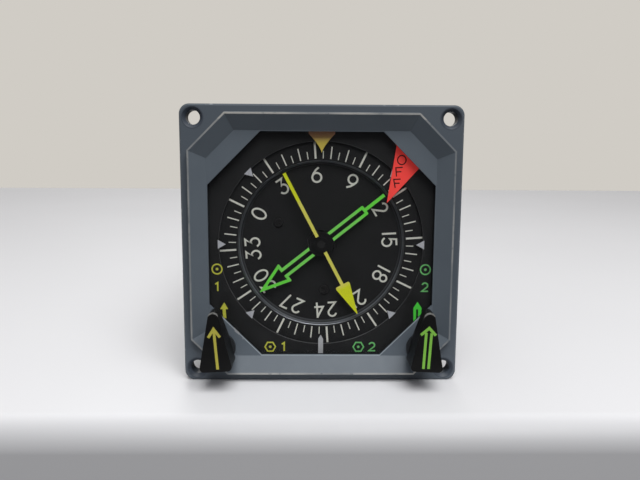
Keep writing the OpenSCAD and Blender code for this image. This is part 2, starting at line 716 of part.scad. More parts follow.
module case_tube() color("dimgray") difference() {
    plate(-seat_depth, seat_depth + case_l) difference() {
        case_outline(0);
        inside(0);
    }
    for (y = [frame_t / 2, rear_screw_y]) side_screws(y, seat_fit);
}
module case_screws() color("silver") for (y = [frame_t / 2, rear_screw_y]) side_screws(y, 0);

module rear_gasket() color("black") plate(case_l, gasket_t) difference() {
    case_outline(0.3);
    inside(0);
}
module rear_cover() color("dimgray") difference() {
    union() {
        plate(cover_y, cover_t - cover_edge) case_outline(0);
        plate(cover_back - cover_edge, cover_edge) case_outline(cover_edge);
        plate(case_l - spigot_l, spigot_l + gasket_t) difference() {
            inside(pocket_fit);
            inside(pocket_fit + spigot_t);
        }
    }
    side_screws(rear_screw_y, seat_fit);
    bar([0, 0], 0, reach * 2, plug_r + seat_fit);
    plug_places() bar([0, 0], cover_back - plug_screw_l, reach, plug_screw_r + seat_fit);
}

module plug_places() for (x = [-1, 1], z = [-1, 1]) translate([x, 0, z] * plug_screw_place) children();
module connector_shell() color("olivedrab") difference() {
    union() {
        turned() translate([plug_r - plug_t, cover_y]) square([plug_t, cover_t + plug_l]);
        plate(cover_back, plug_flange_t) difference() {
            square(plug_flange_w, center = true);
            circle(plug_r - plug_t / 2);
        }
        for (a = [0:120:240]) rotate([0, a, 0]) translate([0, cover_back + plug_l - 4, plug_r - plug_t / 2])
            cylinder(h = plug_t, r = 1);
    }
    plug_places() bar([0, 0], 0, 2 * reach, plug_screw_r + seat_fit);
}
pin_places = concat([[0, 0]], [for (k = [1:pin_rings]) for (i = [0:6 * k - 1]) polar(pin_pitch * k, 60 / k * i)]);
module connector_insert() color("darkslategray") difference() {
    bar([0, 0], cover_y, cover_t + plug_l / 2, plug_r - plug_t - seat_fit);
    for (p = pin_places) bar(p, 0, 2 * reach, pin_r + seat_fit);
}
module connector_pins() color("gold") for (p = pin_places) {
    bar(p, cover_y - pin_tail, cover_back + plug_l - pin_recess - cover_y + pin_tail, pin_r);
    cone(p, cover_back + plug_l - pin_recess, 0.4, pin_r, pin_r / 2);
}
module connector_screws() color("silver") plug_places()
    screw([0, 0], cover_back + plug_flange_t, plug_screw_r, plug_flange_t + plug_screw_l, 2.2, 1.4);

// The card is one dished disc: the scale lies on its outer ring, the figures lie a step deeper
module compass_card() color("black") difference() {
    turned() polygon([
        [card_bore_r, disc_y], [card_step_r - 1.1, disc_y], [card_step_r, card_y], [card_r, card_y],
        [card_r, card_y + card_t], [card_step_r + 1, card_y + card_t], [card_step_r, hub_y], [card_bore_r, hub_y]
    ]);
    card_screw_places() bar([0, 0], 0, reach, card_shank_r + seat_fit);
}
module card_screw_places() for (k = [0:2]) rotate([0, 56 + 120 * k, 0]) translate([0, 0, card_screw_r]) children();
module card_screws() color("dimgray") card_screw_places() {
    bar([0, 0], disc_y - 0.6, 0.6, 1.4);
    bar([0, 0], disc_y - 0.1, card_t + hub_flange_t - 0.2, card_shank_r);
}
module card_hub() color("silver") difference() {
    turned() difference() {
        polygon([[card_bore_r, hub_y], [card_screw_r + 2.5, hub_y], [card_screw_r + 2.5, gear_y], [hub_tube_r, gear_y],
            [hub_tube_r, plate_back - 0.3], [hub_bore_r, plate_back - 0.3], [hub_bore_r, gear_y]]);
        ball_track();
    }
    card_screw_places() bar([0, 0], 0, hub_y + hub_flange_t - 0.2, card_shank_r + seat_fit);
}
module card_gear() color("goldenrod") difference() {
    gear([0, 0], gear_y, gear_w, card_teeth, 0);
    bar([0, 0], 0, reach, hub_tube_r + 0.01);
    for (k = [0:4]) rotate([0, 72 * k, 0]) bar([0, (card_pitch_r + hub_tube_r) / 2], 0, reach, 2.6);
}

// Single pointer: a bar with a solid arrowhead, drawn pointing up
module single_pointer() color("yellow") plate(single_y, pointer_t) rotate(-single_bearing) difference() {
    union() {
        translate([-bar_w / 2, -pointer_r]) square([bar_w, 2 * pointer_r - head_l + 0.5]);
        polygon(rounded([[0, pointer_r + single_reach], [-single_head_w / 2, pointer_r - head_l],
            [single_head_w / 2, pointer_r - head_l]], [0.15, 0.5, 0.5]));
        circle(single_hub_r);
    }
    circle(inner_step_r + 0.01);
}
// Double pointer: two bars that open into a hollow arrowhead and close into one bar at the tail
module double_pointer() color("limegreen") plate(double_y, pointer_t) rotate(-double_bearing) difference() {
    base = pointer_r - head_l;
    fork = tail_l - pointer_r;
    outer = bar_gap / 2 + double_bar_w;
    inner = bar_gap / 2;
    head = double_head_w / 2;
    slant = head_l / head;
    stroke = double_bar_w * sqrt(1 + slant * slant);
    barb = (head_l - stroke - double_bar_w) / slant;
    union() {
        difference() {
            polygon(rounded([[0, pointer_r], [-head, base], [-outer, base], [-outer, fork], [-bar_w / 2, fork],
                [-bar_w / 2, -pointer_r], [bar_w / 2, -pointer_r], [bar_w / 2, fork], [outer, fork], [outer, base],
                [head, base]], [0.15, 0.3, 0, fork_r, 0, 0, 0, 0, fork_r, 0, 0.3]));
            polygon([[0, pointer_r - stroke], [-barb, base + double_bar_w], [-inner, base + double_bar_w],
                [-inner, fork + double_bar_w], [inner, fork + double_bar_w], [inner, base + double_bar_w],
                [barb, base + double_bar_w]]);
        }
        circle(double_hub_r);
    }
    circle(hollow_step_r + 0.01);
}
module hollow_shaft() color("silver") turned() polygon([
    [inner_shaft_r + run_fit, double_y], [hollow_step_r, double_y], [hollow_step_r, double_y + pointer_t],
    [hollow_shaft_r, double_y + pointer_t], [hollow_shaft_r, middle_y + 1], [inner_shaft_r + run_fit, middle_y + 1]
]);
module inner_shaft() color("silver") turned() polygon([
    [0, single_y], [inner_step_r, single_y], [inner_step_r, single_y + pointer_t],
    [inner_shaft_r, single_y + pointer_t], [inner_shaft_r, end_y - 0.3], [0, end_y - 0.3]
]);
module front_synchro_rotor() color("chocolate") synchro_rotor(plate_back + rotor_y,
    unit_l - cap_t - 2 * rotor_y, big_unit_r - unit_wall - rotor_gap, hollow_shaft_r);
module rear_synchro_rotor() color("chocolate") synchro_rotor(rear_unit_y + rotor_y,
    unit_l - cap_t - 2 * rotor_y, big_unit_r - unit_wall - rotor_gap, inner_shaft_r);

// Warning flag: it hangs from a staff hidden behind the window's upper right corner
module off_flag() color("red") plate(flag_y, flag_t) translate(flag_pivot) difference() {
    union() {
        circle(flag_ear_r);
        polygon([[-1.5, -0.6], polar(flag_l * 0.14, -88), polar(flag_l, -97.2), polar(flag_l * 0.58, -51), [1.5, 0.8]]);
    }
    circle(staff_r + 0.01);
}
module flag_staff() color("silver") {
    bar(flag_pivot, flag_y - 0.1, bearing_plate_y - 0.7 - flag_y, staff_r);
    bar(flag_pivot, coil_y + 1.6, bearing_plate_y - coil_y - 3.2, magnet_r);
}

// Pointer knob: a wedge in plan on a round skirt, its tip at the top
module knob(side, lean) translate([side * knob_place, 0, -knob_place]) rotate([0, side * lean, 0]) difference() {
    tip = knob_l - knob_heel;
    union() {
        plate(knob_y, knob_h - skirt_h / 2) polygon(rounded(
            [[knob_tip_w / 2, tip], [-knob_tip_w / 2, tip], [-knob_heel_w / 2, -knob_heel], [knob_heel_w / 2, -knob_heel]],
            [0.4, 0.4, 1.2, 1.2]));
        bar([0, 0], knob_y + knob_h - skirt_h, skirt_h, skirt_r);
    }
    bar([0, 0], knob_y + knob_crown, reach, knob_shaft_r + 0.01);
}
module knob_shaft(side) {
    bar([side * knob_place, -knob_place], knob_y + knob_crown + 0.2, bearing_plate_y - 1.3 - knob_y - knob_crown,
        knob_shaft_r);
    bar([side * knob_place, -knob_place], switch_y + 1.6, bearing_plate_y - switch_y - 3.2, switch_rotor_r);
}
module left_knob() color("black") knob(-1, left_lean);
module right_knob() color("black") knob(1, right_lean);
module left_knob_shaft() color("silver") knob_shaft(-1);
module right_knob_shaft() color("silver") knob_shaft(1);

// Idler: its pinion meshes with the card gear and its large gear with the motor's pinion
module idler_gears() color("goldenrod") {
    gear(idler_place, gear_y, gear_w + gear_step, pinion_teeth, idler_turn);
    difference() {
        gear(idler_place, idler_y, gear_w, idler_teeth, idler_turn);
        for (k = [0:3]) translate([idler_place[0], 0, idler_place[1]]) rotate([0, 90 * k, 0])
            bar([0, idler_pitch_r * 0.6], 0, reach, idler_pitch_r * 0.2);
    }
    bar(idler_place, gear_y - 0.6, plate_back + bush_tail + 1.6 - gear_y, spindle_r);
    bar(idler_place, plate_back + bush_tail + 0.2, 0.8, spindle_r + 0.8);
}
module motor_rotor() color("lightslategray") {
    gear(motor_place, idler_y, gear_w, pinion_teeth, motor_turn);
    rotor_on_spindle(motor_place, idler_y);
}
module rotor_on_spindle(p, y) {
    bar(p, y - 0.4, middle_y + plate_t / 2 - y + 0.4, spindle_r);
    bar(p, plate_back + rotor_y, unit_l - 2 * rotor_y, small_unit_r - unit_wall - rotor_gap);
}
module heading_gear() color("goldenrod") difference() {
    union() {
        gear(heading_place, gear_y, gear_w, card_teeth, heading_turn);
        bar(heading_place, gear_y, gear_w + 1.2, 3);
    }
    bar(heading_place, 0, reach, spindle_r + 0.01);
    for (k = [0:5]) translate([heading_place[0], 0, heading_place[1]]) rotate([0, 60 * k, 0])
        bar([0, card_pitch_r * 0.58], 0, reach, card_pitch_r * 0.2);
}
module heading_rotor() color("lightslategray") rotor_on_spindle(heading_place, gear_y);

bezel();
window_seal();
window_glass();
spacer_frame();
mask_plate();
lubber_mark();
lower_mark();
front_frame();
frame_screws();
dial_lamps();
knob_bushings();
left_switch();
right_switch();
front_posts();
bearing_plate();
card_bearing();
bearing_balls();
idler_bush();
flag_coil();
front_synchro_body();
front_synchro_cap();
middle_plate();
rear_synchro_body();
rear_synchro_cap();
mechanism_posts();
end_plate();
heading_synchro_body();
servo_motor_body();
board_rails();
left_board();
right_board();
transformer();
case_tube();
case_screws();
rear_gasket();
rear_cover();
connector_shell();
connector_insert();
connector_pins();
connector_screws();
compass_card();
card_screws();
card_hub();
card_gear();
double_pointer();
hollow_shaft();
front_synchro_rotor();
single_pointer();
inner_shaft();
rear_synchro_rotor();
off_flag();
flag_staff();
left_knob();
left_knob_shaft();
right_knob();
right_knob_shaft();
idler_gears();
motor_rotor();
heading_gear();
heading_rotor();
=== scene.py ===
import bpy
import bmesh
from math import sin, cos, radians, hypot, pi, sqrt
from mathutils import Matrix, Vector


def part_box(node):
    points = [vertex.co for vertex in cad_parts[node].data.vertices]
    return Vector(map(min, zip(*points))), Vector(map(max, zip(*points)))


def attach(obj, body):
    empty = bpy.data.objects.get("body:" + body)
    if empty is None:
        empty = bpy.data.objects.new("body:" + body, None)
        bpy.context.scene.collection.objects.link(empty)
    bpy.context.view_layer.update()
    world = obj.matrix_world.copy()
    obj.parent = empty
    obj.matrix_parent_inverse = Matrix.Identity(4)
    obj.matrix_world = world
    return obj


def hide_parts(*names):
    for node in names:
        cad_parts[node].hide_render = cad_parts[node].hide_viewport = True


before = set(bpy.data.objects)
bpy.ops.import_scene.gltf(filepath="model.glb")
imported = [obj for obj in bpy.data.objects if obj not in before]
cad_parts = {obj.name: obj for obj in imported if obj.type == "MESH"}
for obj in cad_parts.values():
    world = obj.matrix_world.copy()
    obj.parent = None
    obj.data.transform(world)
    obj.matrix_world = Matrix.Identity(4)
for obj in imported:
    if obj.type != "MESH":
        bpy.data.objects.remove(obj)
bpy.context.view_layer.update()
scene = bpy.context.scene
scene.view_settings.view_transform = "Standard"
MM = 0.001

# Camera
# The camera stood 184 mm in front of the bezel and 27 mm above its middle, and looked down 8 degrees. Its
# focal length and its place come from the bezel's corners and the dial's circles.
PHOTO_WIDTH, FOCAL_PIXELS, SENSOR = 640, 608.8, 36.0
STANDPOINT = (-0.0033, -0.18404, 0.02694)
swing, dip, roll = 0.016, -0.139, 0.006
ahead = Vector((sin(swing) * cos(dip), cos(swing) * cos(dip), sin(dip)))
level = Vector((cos(swing), -sin(swing), 0))
above = level.cross(ahead)
rightwards = cos(roll) * level + sin(roll) * above
upwards = cos(roll) * above - sin(roll) * level
lens = bpy.data.cameras.new("camera")
lens.sensor_width = SENSOR
lens.lens = FOCAL_PIXELS * SENSOR / PHOTO_WIDTH
lens.clip_start, lens.clip_end = 0.01, 20
camera = bpy.data.objects.new("camera", lens)
scene.collection.objects.link(camera)
camera.matrix_world = (Matrix.Translation(STANDPOINT)
                       @ Matrix((rightwards, upwards, -ahead)).transposed().to_4x4())
scene.camera = camera


# Table and light
# A white laminate table top with a rounded front edge. The instrument stands on its lower bezel edge and the
# end of its case, so the table slopes by that little to its level. Behind it is a warm grey wall. A broad
# soft lamp hangs above and in front, and a weaker one behind.
def maths(operation, swapped=False):
    """A method that adds a maths node for the operation."""
    def method(self, other=0.0):
        first, second = (other, self) if swapped else (self, other)
        return self.bench.node("ShaderNodeMath", {"operation": operation}, {0: first, 1: second})
    return method


class Wire:
    """An output in a node tree. Arithmetic on it adds the nodes that work it out."""

    def __init__(self, bench, socket):
        self.bench, self.socket = bench, socket

    __add__ = __radd__ = maths("ADD")
    __mul__ = __rmul__ = maths("MULTIPLY")
    __sub__, __rsub__ = maths("SUBTRACT"), maths("SUBTRACT", swapped=True)
    __truediv__, __mod__, __pow__ = maths("DIVIDE"), maths("MODULO"), maths("POWER")
    __lt__, __gt__, __abs__ = maths("LESS_THAN"), maths("GREATER_THAN"), maths("ABSOLUTE")
    most, sine = maths("MAXIMUM"), maths("SINE")

    def rise(self, low, high):
        """0 below low, 1 above high and a soft step between."""
        return self.bench.node("ShaderNodeMapRange", {"interpolation_type": "SMOOTHSTEP"},
                               {0: self, 1: low, 2: high, 3: 0.0, 4: 1.0})

    def fall(self, low, high):
        """1 below low, 0 above high and a soft step between."""
        return 1 - self.rise(low, high)


class Bench:
    """A node tree being wired, for a finish, a shape or the surroundings."""

    def __init__(self, tree):
        self.tree = tree

    def node(self, kind, settings=None, sockets=None, out=0):
        """A node with its settings. Each socket takes a value, a wire or a list of wires."""
        made = self.tree.nodes.new(kind)
        for name, value in (settings or {}).items():
            setattr(made, name, value)
        for name, value in (sockets or {}).items():
            for part in value if isinstance(value, list) else [value]:
                if isinstance(part, Wire):
                    self.tree.links.new(part.socket, made.inputs[name])
                else:
                    made.inputs[name].default_value = part
        return Wire(self, made.outputs[out])

    def split(self, vector):
        return [self.node("ShaderNodeSeparateXYZ", sockets={0: vector}, out=axis) for axis in range(3)]

    def vector(self, x=0.0, y=0.0, z=0.0):
        return self.node("ShaderNodeCombineXYZ", None, {0: x, 1: y, 2: z})

    def mix(self, share, first, second):
        """Colour: first where share is 0, second where it is 1."""
        return self.node("ShaderNodeMix", {"data_type": "RGBA"}, {0: share, 6: first, 7: second}, out=2)

    def output(self, kind, surface):
        self.tree.links.new(surface.socket, self.tree.nodes.new(kind).inputs[0])


class Finish(Bench):
    """A material whose pattern is worked out in millimetres on the piece's own object coordinates."""

    def __init__(self, name):
        self.material = bpy.data.materials.new(name)
        self.material.use_nodes = True
        super().__init__(self.material.node_tree)
        self.tree.nodes.clear()
        metres = self.node("ShaderNodeTexCoord", out="Object")
        self.place = self.node("ShaderNodeVectorMath", {"operation": "SCALE"}, {0: metres, 3: 1 / MM})

    def xyz(self):
        return self.split(self.place)

    def off_axis(self):
        """Distance from the instrument's centre line."""
        x, y, z = self.xyz()
        return (x * x + z * z) ** 0.5

    def noise(self, size, detail=3.0, stretch=(1, 1, 1)):
        """Cloudy noise from 0 to 1 whose blotches are about size millimetres across, drawn out by stretch."""
        spread = self.node("ShaderNodeVectorMath", {"operation": "MULTIPLY"},
                           {0: self.place, 1: tuple(1 / (size * s) for s in stretch)})
        return self.node("ShaderNodeTexNoise", None, {"Vector": spread, "Scale": 1.0, "Detail": detail})

    def close(self, colour, roughness, height=None, depth=0.01, **fixed):
        """Wires the surface: its colour, roughness and relief (height in depths of so many millimetres)."""
        sockets = {"Base Color": colour, "Roughness": roughness}
        if height is not None:
            sockets["Normal"] = self.node("ShaderNodeBump", None, {"Distance": depth * MM, "Height": height})
        sockets.update({name.replace("_", " "): value for name, value in fixed.items()})
        return self.coat_with(self.node("ShaderNodeBsdfPrincipled", None, sockets))

    def coat_with(self, surface):
        self.output("ShaderNodeOutputMaterial", surface)
        return self.material


def shade(red, green, blue):
    """A colour as read from 0 to 255, made linear."""
    levels = [level / 255 for level in (red, green, blue)]
    return tuple(c / 12.92 if c < 0.04045 else ((c + 0.055) / 1.055) ** 2.4 for c in levels) + (1.0,)


def new_piece(name, shape, finish):
    """Turns a bmesh into a piece with outward faces and its finish."""
    bmesh.ops.recalc_face_normals(shape, faces=shape.faces)
    mesh = bpy.data.meshes.new(name)
    shape.to_mesh(mesh)
    shape.free()
    mesh.materials.append(finish)
    piece = bpy.data.objects.new(name, mesh)
    scene.collection.objects.link(piece)
    return piece


def shade_smooth(mesh):
    mesh.polygons.foreach_set("use_smooth", [True] * len(mesh.polygons))


def worked_in(piece):
    """The piece with its modifiers worked into its mesh."""
    bpy.context.view_layer.update()
    worked = bpy.data.meshes.new_from_object(piece.evaluated_get(bpy.context.evaluated_depsgraph_get()))
    piece.modifiers.clear()
    piece.data = worked
    return piece


def edge_broken(piece, radius, segments=2, angle=24):
    """Rounds every edge sharper than angle, and leaves the faces between them shaded flat."""
    shade_smooth(piece.data)
    bevel = piece.modifiers.new("broken edges", "BEVEL")
    bevel.width, bevel.segments, bevel.limit_method = radius * MM, segments, "ANGLE"
    bevel.angle_limit, bevel.use_clamp_overlap = radians(angle), True
    piece.modifiers.new("flat faces", "WEIGHTED_NORMAL").weight = 100
    return worked_in(piece)


FLOOR_Z, TABLE_FRONT, TABLE_BACK, TABLE_RISE, TABLE_NOSE = -41.4, -36.0, 859, 2.15 / 176, 8
TABLE_WIDTH, TABLE_FOOT = 4, -0.6
laminate = Finish("table_laminate")
x, y, z = laminate.xyz()
# Painted shade: the laminate is painted darker over the rounded front edge.
nose_shade = (y * -1.0).rise(-TABLE_FRONT - TABLE_NOSE, -TABLE_FRONT)
laminate_tone = laminate.mix(laminate.noise(160, 2), shade(227, 227, 229), shade(233, 233, 235))
laminate_tone = laminate.mix(nose_shade, laminate_tone, shade(189, 189, 191))
laminate_white = laminate.close(laminate_tone, 0.45 + 0.1 * laminate.noise(4), laminate.noise(0.8), 0.01)
table = bmesh.new()
bmesh.ops.create_cube(table, size=1)
for corner in table.verts:
    away = TABLE_BACK if corner.co.y > 0 else TABLE_FRONT
    height = (FLOOR_Z + away * TABLE_RISE) * MM if corner.co.z > 0 else TABLE_FOOT
    corner.co = Vector((corner.co.x * TABLE_WIDTH, away * MM, height))
table_top = edge_broken(new_piece("table_top", table, laminate_white), TABLE_NOSE, segments=10)

surroundings = bpy.data.worlds.new("surroundings")
scene.world = surroundings
surroundings.use_nodes = True
sky = Bench(surroundings.node_tree)
sky.tree.nodes.clear()
WALL, CEILING, ROOM = shade(208, 204, 197), (0.36, 0.36, 0.37, 1.0), (0.07, 0.07, 0.075, 1.0)
seen, mirrored, through = [sky.node("ShaderNodeLightPath", out=ray)
                           for ray in ("Is Camera Ray", "Is Glossy Ray", "Is Transmission Ray")]
northwards, higher = sky.split(sky.node("ShaderNodeTexCoord", out="Generated"))[1:]
ambient = sky.mix(higher.rise(-0.5, 0.9), ROOM, CEILING)
glimpse = sky.mix(northwards.rise(-0.7, 0.3), sky.mix(0.88, WALL, ROOM), WALL)
wall_light = sky.mix(seen.most(through), sky.mix(mirrored, ambient, glimpse), WALL)
background = sky.node("ShaderNodeBackground", None, {"Color": wall_light, "Strength": 1.0})
sky.output("ShaderNodeOutputWorld", background)


def hang_lamp(name, place, aim, size, power):
    lamp = bpy.data.lights.new(name, "AREA")
    lamp.shape, lamp.size, lamp.energy = "SQUARE", size, power
    stand = bpy.data.objects.new(name, lamp)
    scene.collection.objects.link(stand)
    stand.location = place
    stand.rotation_euler = (Vector(aim) - Vector(place)).to_track_quat("-Z", "Y").to_euler()


hang_lamp("front_lamp", place=(0.15, -0.56, 0.83), aim=(0, 0, 0), size=0.7, power=10.4)
hang_lamp("rear_lamp", place=(-0.2, 1.5, 1.1), aim=(0, 0.1, 0), size=0.9, power=5.5)

# Bezel
# The square front is one aluminium casting in blue-grey enamel, a little darker outside the crest. Its raised
# eight-sided rim is rubbed to metal along the crest, the rub weighted by side as painted highlight, and the
# window's edge is chipped beside the left knob. The window's lower sill carries a painted highlight. The
# corner holes take panel screws, with painted shade in their countersinks.
CREST_HALF, CREST_CUT, CREST_Y = 38.65, 47.13, -7.4
WINDOW_HALF, WINDOW_CUT, SILL_Y = 33.7, 36.58, -4.4
HOLE_PLACE, SINK_R, OUTER_HALF, TOP_BOTTOM_CREST_Z = 37.5, 3.0, 41.4, 37.0
DIAGONAL = 1 / sqrt(2)


def eight_sided(x, z):
    """Half the width across the flats, and across the cut corners, at which a point lies."""
    return abs(x).most(abs(z)), (abs(x) + abs(z)) * DIAGONAL


enamel = Finish("bezel_enamel")
x, y, z = enamel.xyz()
side, cut = eight_sided(x, z)
past_crest = (side - CREST_HALF).most(cut - CREST_CUT)
from_window = abs((side - WINDOW_HALF).most(cut - WINDOW_CUT))
blotch, speckle, broken = enamel.noise(9, 4), enamel.noise(0.5, 2), enamel.noise(1.6, 5)
rub = enamel.noise(14).rise(0.36, 0.62)
# The crest's rub is wear, weighted by side as painted highlight: full along the top, less along the bottom,
# least on the sides.
wear_and_highlight_by_side = (z > TOP_BOTTOM_CREST_Z).most(0.45 + (z < -TOP_BOTTOM_CREST_Z) * 0.3)
crest_wear_and_highlight = abs(past_crest).fall(0.12, 0.4) * (y < CREST_Y + 0.4) * (0.4 + 0.6 * rub)
crest_wear_and_highlight = crest_wear_and_highlight * broken.rise(0.2, 0.45) * wear_and_highlight_by_side
by_hole = ((abs(x) - HOLE_PLACE) ** 2.0 + (abs(z) - HOLE_PLACE) ** 2.0) ** 0.5
# Painted shade darkens the countersinks round the corner holes.
sink_shade = by_hole.fall(SINK_R, SINK_R + 0.5) * (y > SILL_Y - 0.8)
by_left_knob = (x < -23.5) * (z < -21.5)
chipped = from_window.fall(0.15, 0.75) * by_left_knob * broken.rise(0.5, 0.6) * (y > SILL_Y - 0.6)
outer_edge = (side > OUTER_HALF - 0.3) * enamel.noise(1.8, 4).rise(0.64, 0.7) * (y < SILL_Y)
fresh = enamel.mix(past_crest.rise(-0.2, 0.5), shade(94, 103, 111), shade(80, 88, 96))
mottled = enamel.mix(blotch, fresh, enamel.mix(0.5, fresh, shade(76, 84, 94)))
sink_shade_and_sill_highlight = enamel.mix(sink_shade * 0.6, mottled, shade(44, 50, 62))
# Painted highlight: a pale line along the window's lower sill, where light falls on its edge.
sill_highlight = from_window.fall(0.1, 0.3) * (y > SILL_Y - 0.2) * (y < SILL_Y + 0.2)
sink_shade_and_sill_highlight = enamel.mix(sill_highlight * (z < -20.0) * 0.6, sink_shade_and_sill_highlight, shade(176, 186, 192))
# The rubbed crest colour carries the painted highlight of the side weighting as well as the wear.
rubbed = enamel.mix(crest_wear_and_highlight * 0.95, sink_shade_and_sill_highlight, shade(196, 194, 188))
bare = enamel.mix(chipped.most(outer_edge * 0.5), rubbed, shade(176, 178, 180))
enamel_relief = speckle * 0.6 + blotch * 0.8 - chipped * 1.5
bezel_enamel = enamel.close(bare, 0.42 + 0.16 * broken - 0.12 * crest_wear_and_highlight, enamel_relief, 0.012,
                            Metallic=(crest_wear_and_highlight * 0.35).most(chipped * 0.6), Specular_IOR_Level=0.4)


def copied(node):
    """The CAD piece's shape with its loose triangles merged into whole faces."""
    shape = bmesh.new()
    shape.from_mesh(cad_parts[node].data)
    bmesh.ops.remove_doubles(shape, verts=shape.verts, dist=2e-6)
    bmesh.ops.dissolve_limit(shape, angle_limit=radians(0.5), verts=shape.verts, edges=shape.edges)
    return shape


def worked_copy(node, name, finish, shape, body, radius, segments=2):
    """Puts a copy in the CAD piece's place, with its edges broken as filing and paint leave them."""
    piece = edge_broken(new_piece(name, shape, finish), radius, segments)
    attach(piece, body)
    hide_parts(node)


worked_copy("bezel", "bezel_casting", bezel_enamel, copied("bezel"), "housing", 0.18)

# Window
# A flat bloomed glass sits on a black rubber seal in the bezel's step, and a thin black spacer behind leaves
# room for the flag. Nothing glues them: the front frame clamps the stack from behind.
def dress(finish, *nodes):
    """Gives CAD pieces a finish all over."""
    for node in nodes:
        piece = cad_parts[node]
        if not piece.material_slots:
            piece.data.materials.append(finish)
        for slot in piece.material_slots:
            slot.material = finish


glass = Finish("bloomed_glass")
sheen = glass.node("ShaderNodeFresnel", None, {"IOR": 1.45}) * (0.3 + 0.05 * glass.noise(22, 2))
clear = glass.node("ShaderNodeBsdfTransparent", None, {"Color": (0.985, 0.99, 0.985, 1.0)})
gloss = glass.node("ShaderNodeBsdfAnisotropic", None, {"Color": (0.86, 0.9, 1.0, 1.0), "Roughness": 0.06})
bloomed_glass = glass.node("ShaderNodeMixShader", None, {0: sheen, 1: clear, 2: gloss})
dress(glass.coat_with(bloomed_glass), "window_glass")
rubber = Finish("seal_rubber")
RUBBER_BLACK = shade(26, 26, 27)
bloomed = rubber.mix(rubber.noise(6, 4), RUBBER_BLACK, rubber.mix(0.35, RUBBER_BLACK, shade(92, 92, 90)))
dress(rubber.close(bloomed, 0.72 + 0.14 * rubber.noise(1.2), rubber.noise(0.25, 2), 0.02),
      "window_seal", "rear_gasket")


def dial_paint(name, tone, specks=0.0, opening_r=0.0):
    """Dead matt instrument black with a few specks of dust, rubbed bare on the edge of a round opening."""
    coat = Finish(name)
    bare_edge = abs(coat.off_axis() - opening_r).fall(0.03, 0.06)
    dust = coat.noise(0.7, 2).rise(0.72, 0.8) * specks
    veil = coat.noise(11, 3).rise(0.3, 0.8)
    colour = coat.mix(dust, coat.mix(veil * 0.5, tone, shade(46, 46, 48)), shade(92, 92, 92))
    colour = coat.mix(bare_edge * (0.4 + 0.4 * veil), colour, shade(112, 112, 114))
    return coat.close(colour, 0.6 + 0.12 * coat.noise(3), coat.noise(0.22, 2), 0.006, Specular_IOR_Level=0.16)


dress(dial_paint("spacer_black", shade(20, 20, 22)), "spacer_frame")

# Dial mask
# The fixed black mask round the card is a painted aluminium sheet. Grey index triangles, an arrow for each
# knob and a plain sign and number for each receiver are silk-screened on it in thin raised paint.
MASK_Y, MASK_OPENING_R = -1.7, 31.0
FILM, MITRE_LIMIT = 0.025, 2.4
ARROW_TOP_Z, ARROW_FOOT_Z = -17.0, -25.5
# Painted reflection: the mask's black is a little lighter than the paint, for the glass's faint reflection
# over it.
dress(dial_paint("mask_black", shade(36, 36, 37), 0.35, MASK_OPENING_R), "mask_plate")


def screen_ink(name, tone, worn, size=1.1, arrow=None):
    """Silk-screen ink: flat, a little mottled, thin in places, and fresher on the mask's small arrow."""
    ink = Finish(name)
    if arrow:
        x, y, z = ink.xyz()
        tone, worn = [ink.mix((z < ARROW_TOP_Z) * (z > ARROW_FOOT_Z), old, arrow) for old in (tone, worn)]
    thin = ink.noise(size, 4).rise(0.52, 0.8)
    cast = ink.noise(6, 2)
    colour = ink.mix(thin * 0.5, ink.mix(cast * 0.4, tone, worn), worn)
    return ink.close(colour, 0.5 + 0.15 * ink.noise(0.8), ink.noise(0.3, 2), 0.006, Specular_IOR_Level=0.3)


def lay_patch(shape, outline, front, thickness=FILM):
    """A flat patch of paint on the plane y = front: a closed prism from its outline in x and z."""
    near = [shape.verts.new((px * MM, (front - thickness) * MM, pz * MM)) for px, pz in outline]
    far = [shape.verts.new((px * MM, front * MM, pz * MM)) for px, pz in outline]
    shape.faces.new(near)
    shape.faces.new(far[::-1])
    for k in range(len(near)):
        n = (k + 1) % len(near)
        shape.faces.new((near[k], far[k], far[n], near[n]))


def lay_stroke(shape, path, width, front, thickness=FILM, closed=False):
    """A painted line of even width along a path, its corners mitred and its ends square."""
    count, rows = len(path), []
    for k, point in enumerate(path):
        here = Vector(point)
        ways = []
        if k > 0 or closed:
            ways.append((here - Vector(path[k - 1])).normalized())
        if k < count - 1 or closed:
            ways.append((Vector(path[(k + 1) % count]) - here).normalized())
        way = sum(ways, Vector((0, 0))).normalized()
        normal = Vector((-way.y, way.x))
        spread = min(1 / max(abs(way.dot(ways[0])), 0.4), MITRE_LIMIT) * width / 2
        row = []
        for shift in (spread, -spread):
            for y_place in (front - thickness, front):
                spot = here + normal * shift
                row.append(shape.verts.new((spot.x * MM, y_place * MM, spot.y * MM)))
        rows.append(row)
    for k in range(count if closed else count - 1):
        a, b = rows[k], rows[(k + 1) % count]
        for i, j in ((0, 2), (1, 0), (3, 1), (2, 3)):
            shape.faces.new((a[i], a[j], b[j], b[i]))
    if not closed:
        for row in (rows[0], rows[-1]):
            shape.faces.new((row[0], row[1], row[3], row[2]))


def ring(cx, cz, rx, rz, start=0, end=360, steps=28):
    """Points along an ellipse or a part of one, in degrees from the x axis."""
    sweep = end - start
    turns = [radians(start + sweep * k / steps) for k in range(steps if sweep == 360 else steps + 1)]
    return [(cx + rx * cos(turn), cz + rz * sin(turn)) for turn in turns]


def outward(degrees):
    """The way outward at so many degrees clockwise from the dial's top, and the way across it."""
    turn = radians(degrees)
    return Vector((sin(turn), cos(turn))), Vector((cos(turn), -sin(turn)))


INDEX_BASE_R, INDEX_TIP_R, INDEX_HALF = 31.25, 28.83, 1.38
index_marks = bmesh.new()
for turn in (45, 90, 135, 225, 270, 315):
    out, across = outward(turn)
    triangle = ((INDEX_BASE_R, INDEX_HALF), (INDEX_BASE_R, -INDEX_HALF), (INDEX_TIP_R, 0))
    lay_patch(index_marks, [out * r + across * s for r, s in triangle], MASK_Y)
index_grey = screen_ink("index_grey", shade(208, 208, 216), shade(172, 172, 178))
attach(new_piece("index_marks", index_marks, index_grey), "housing")

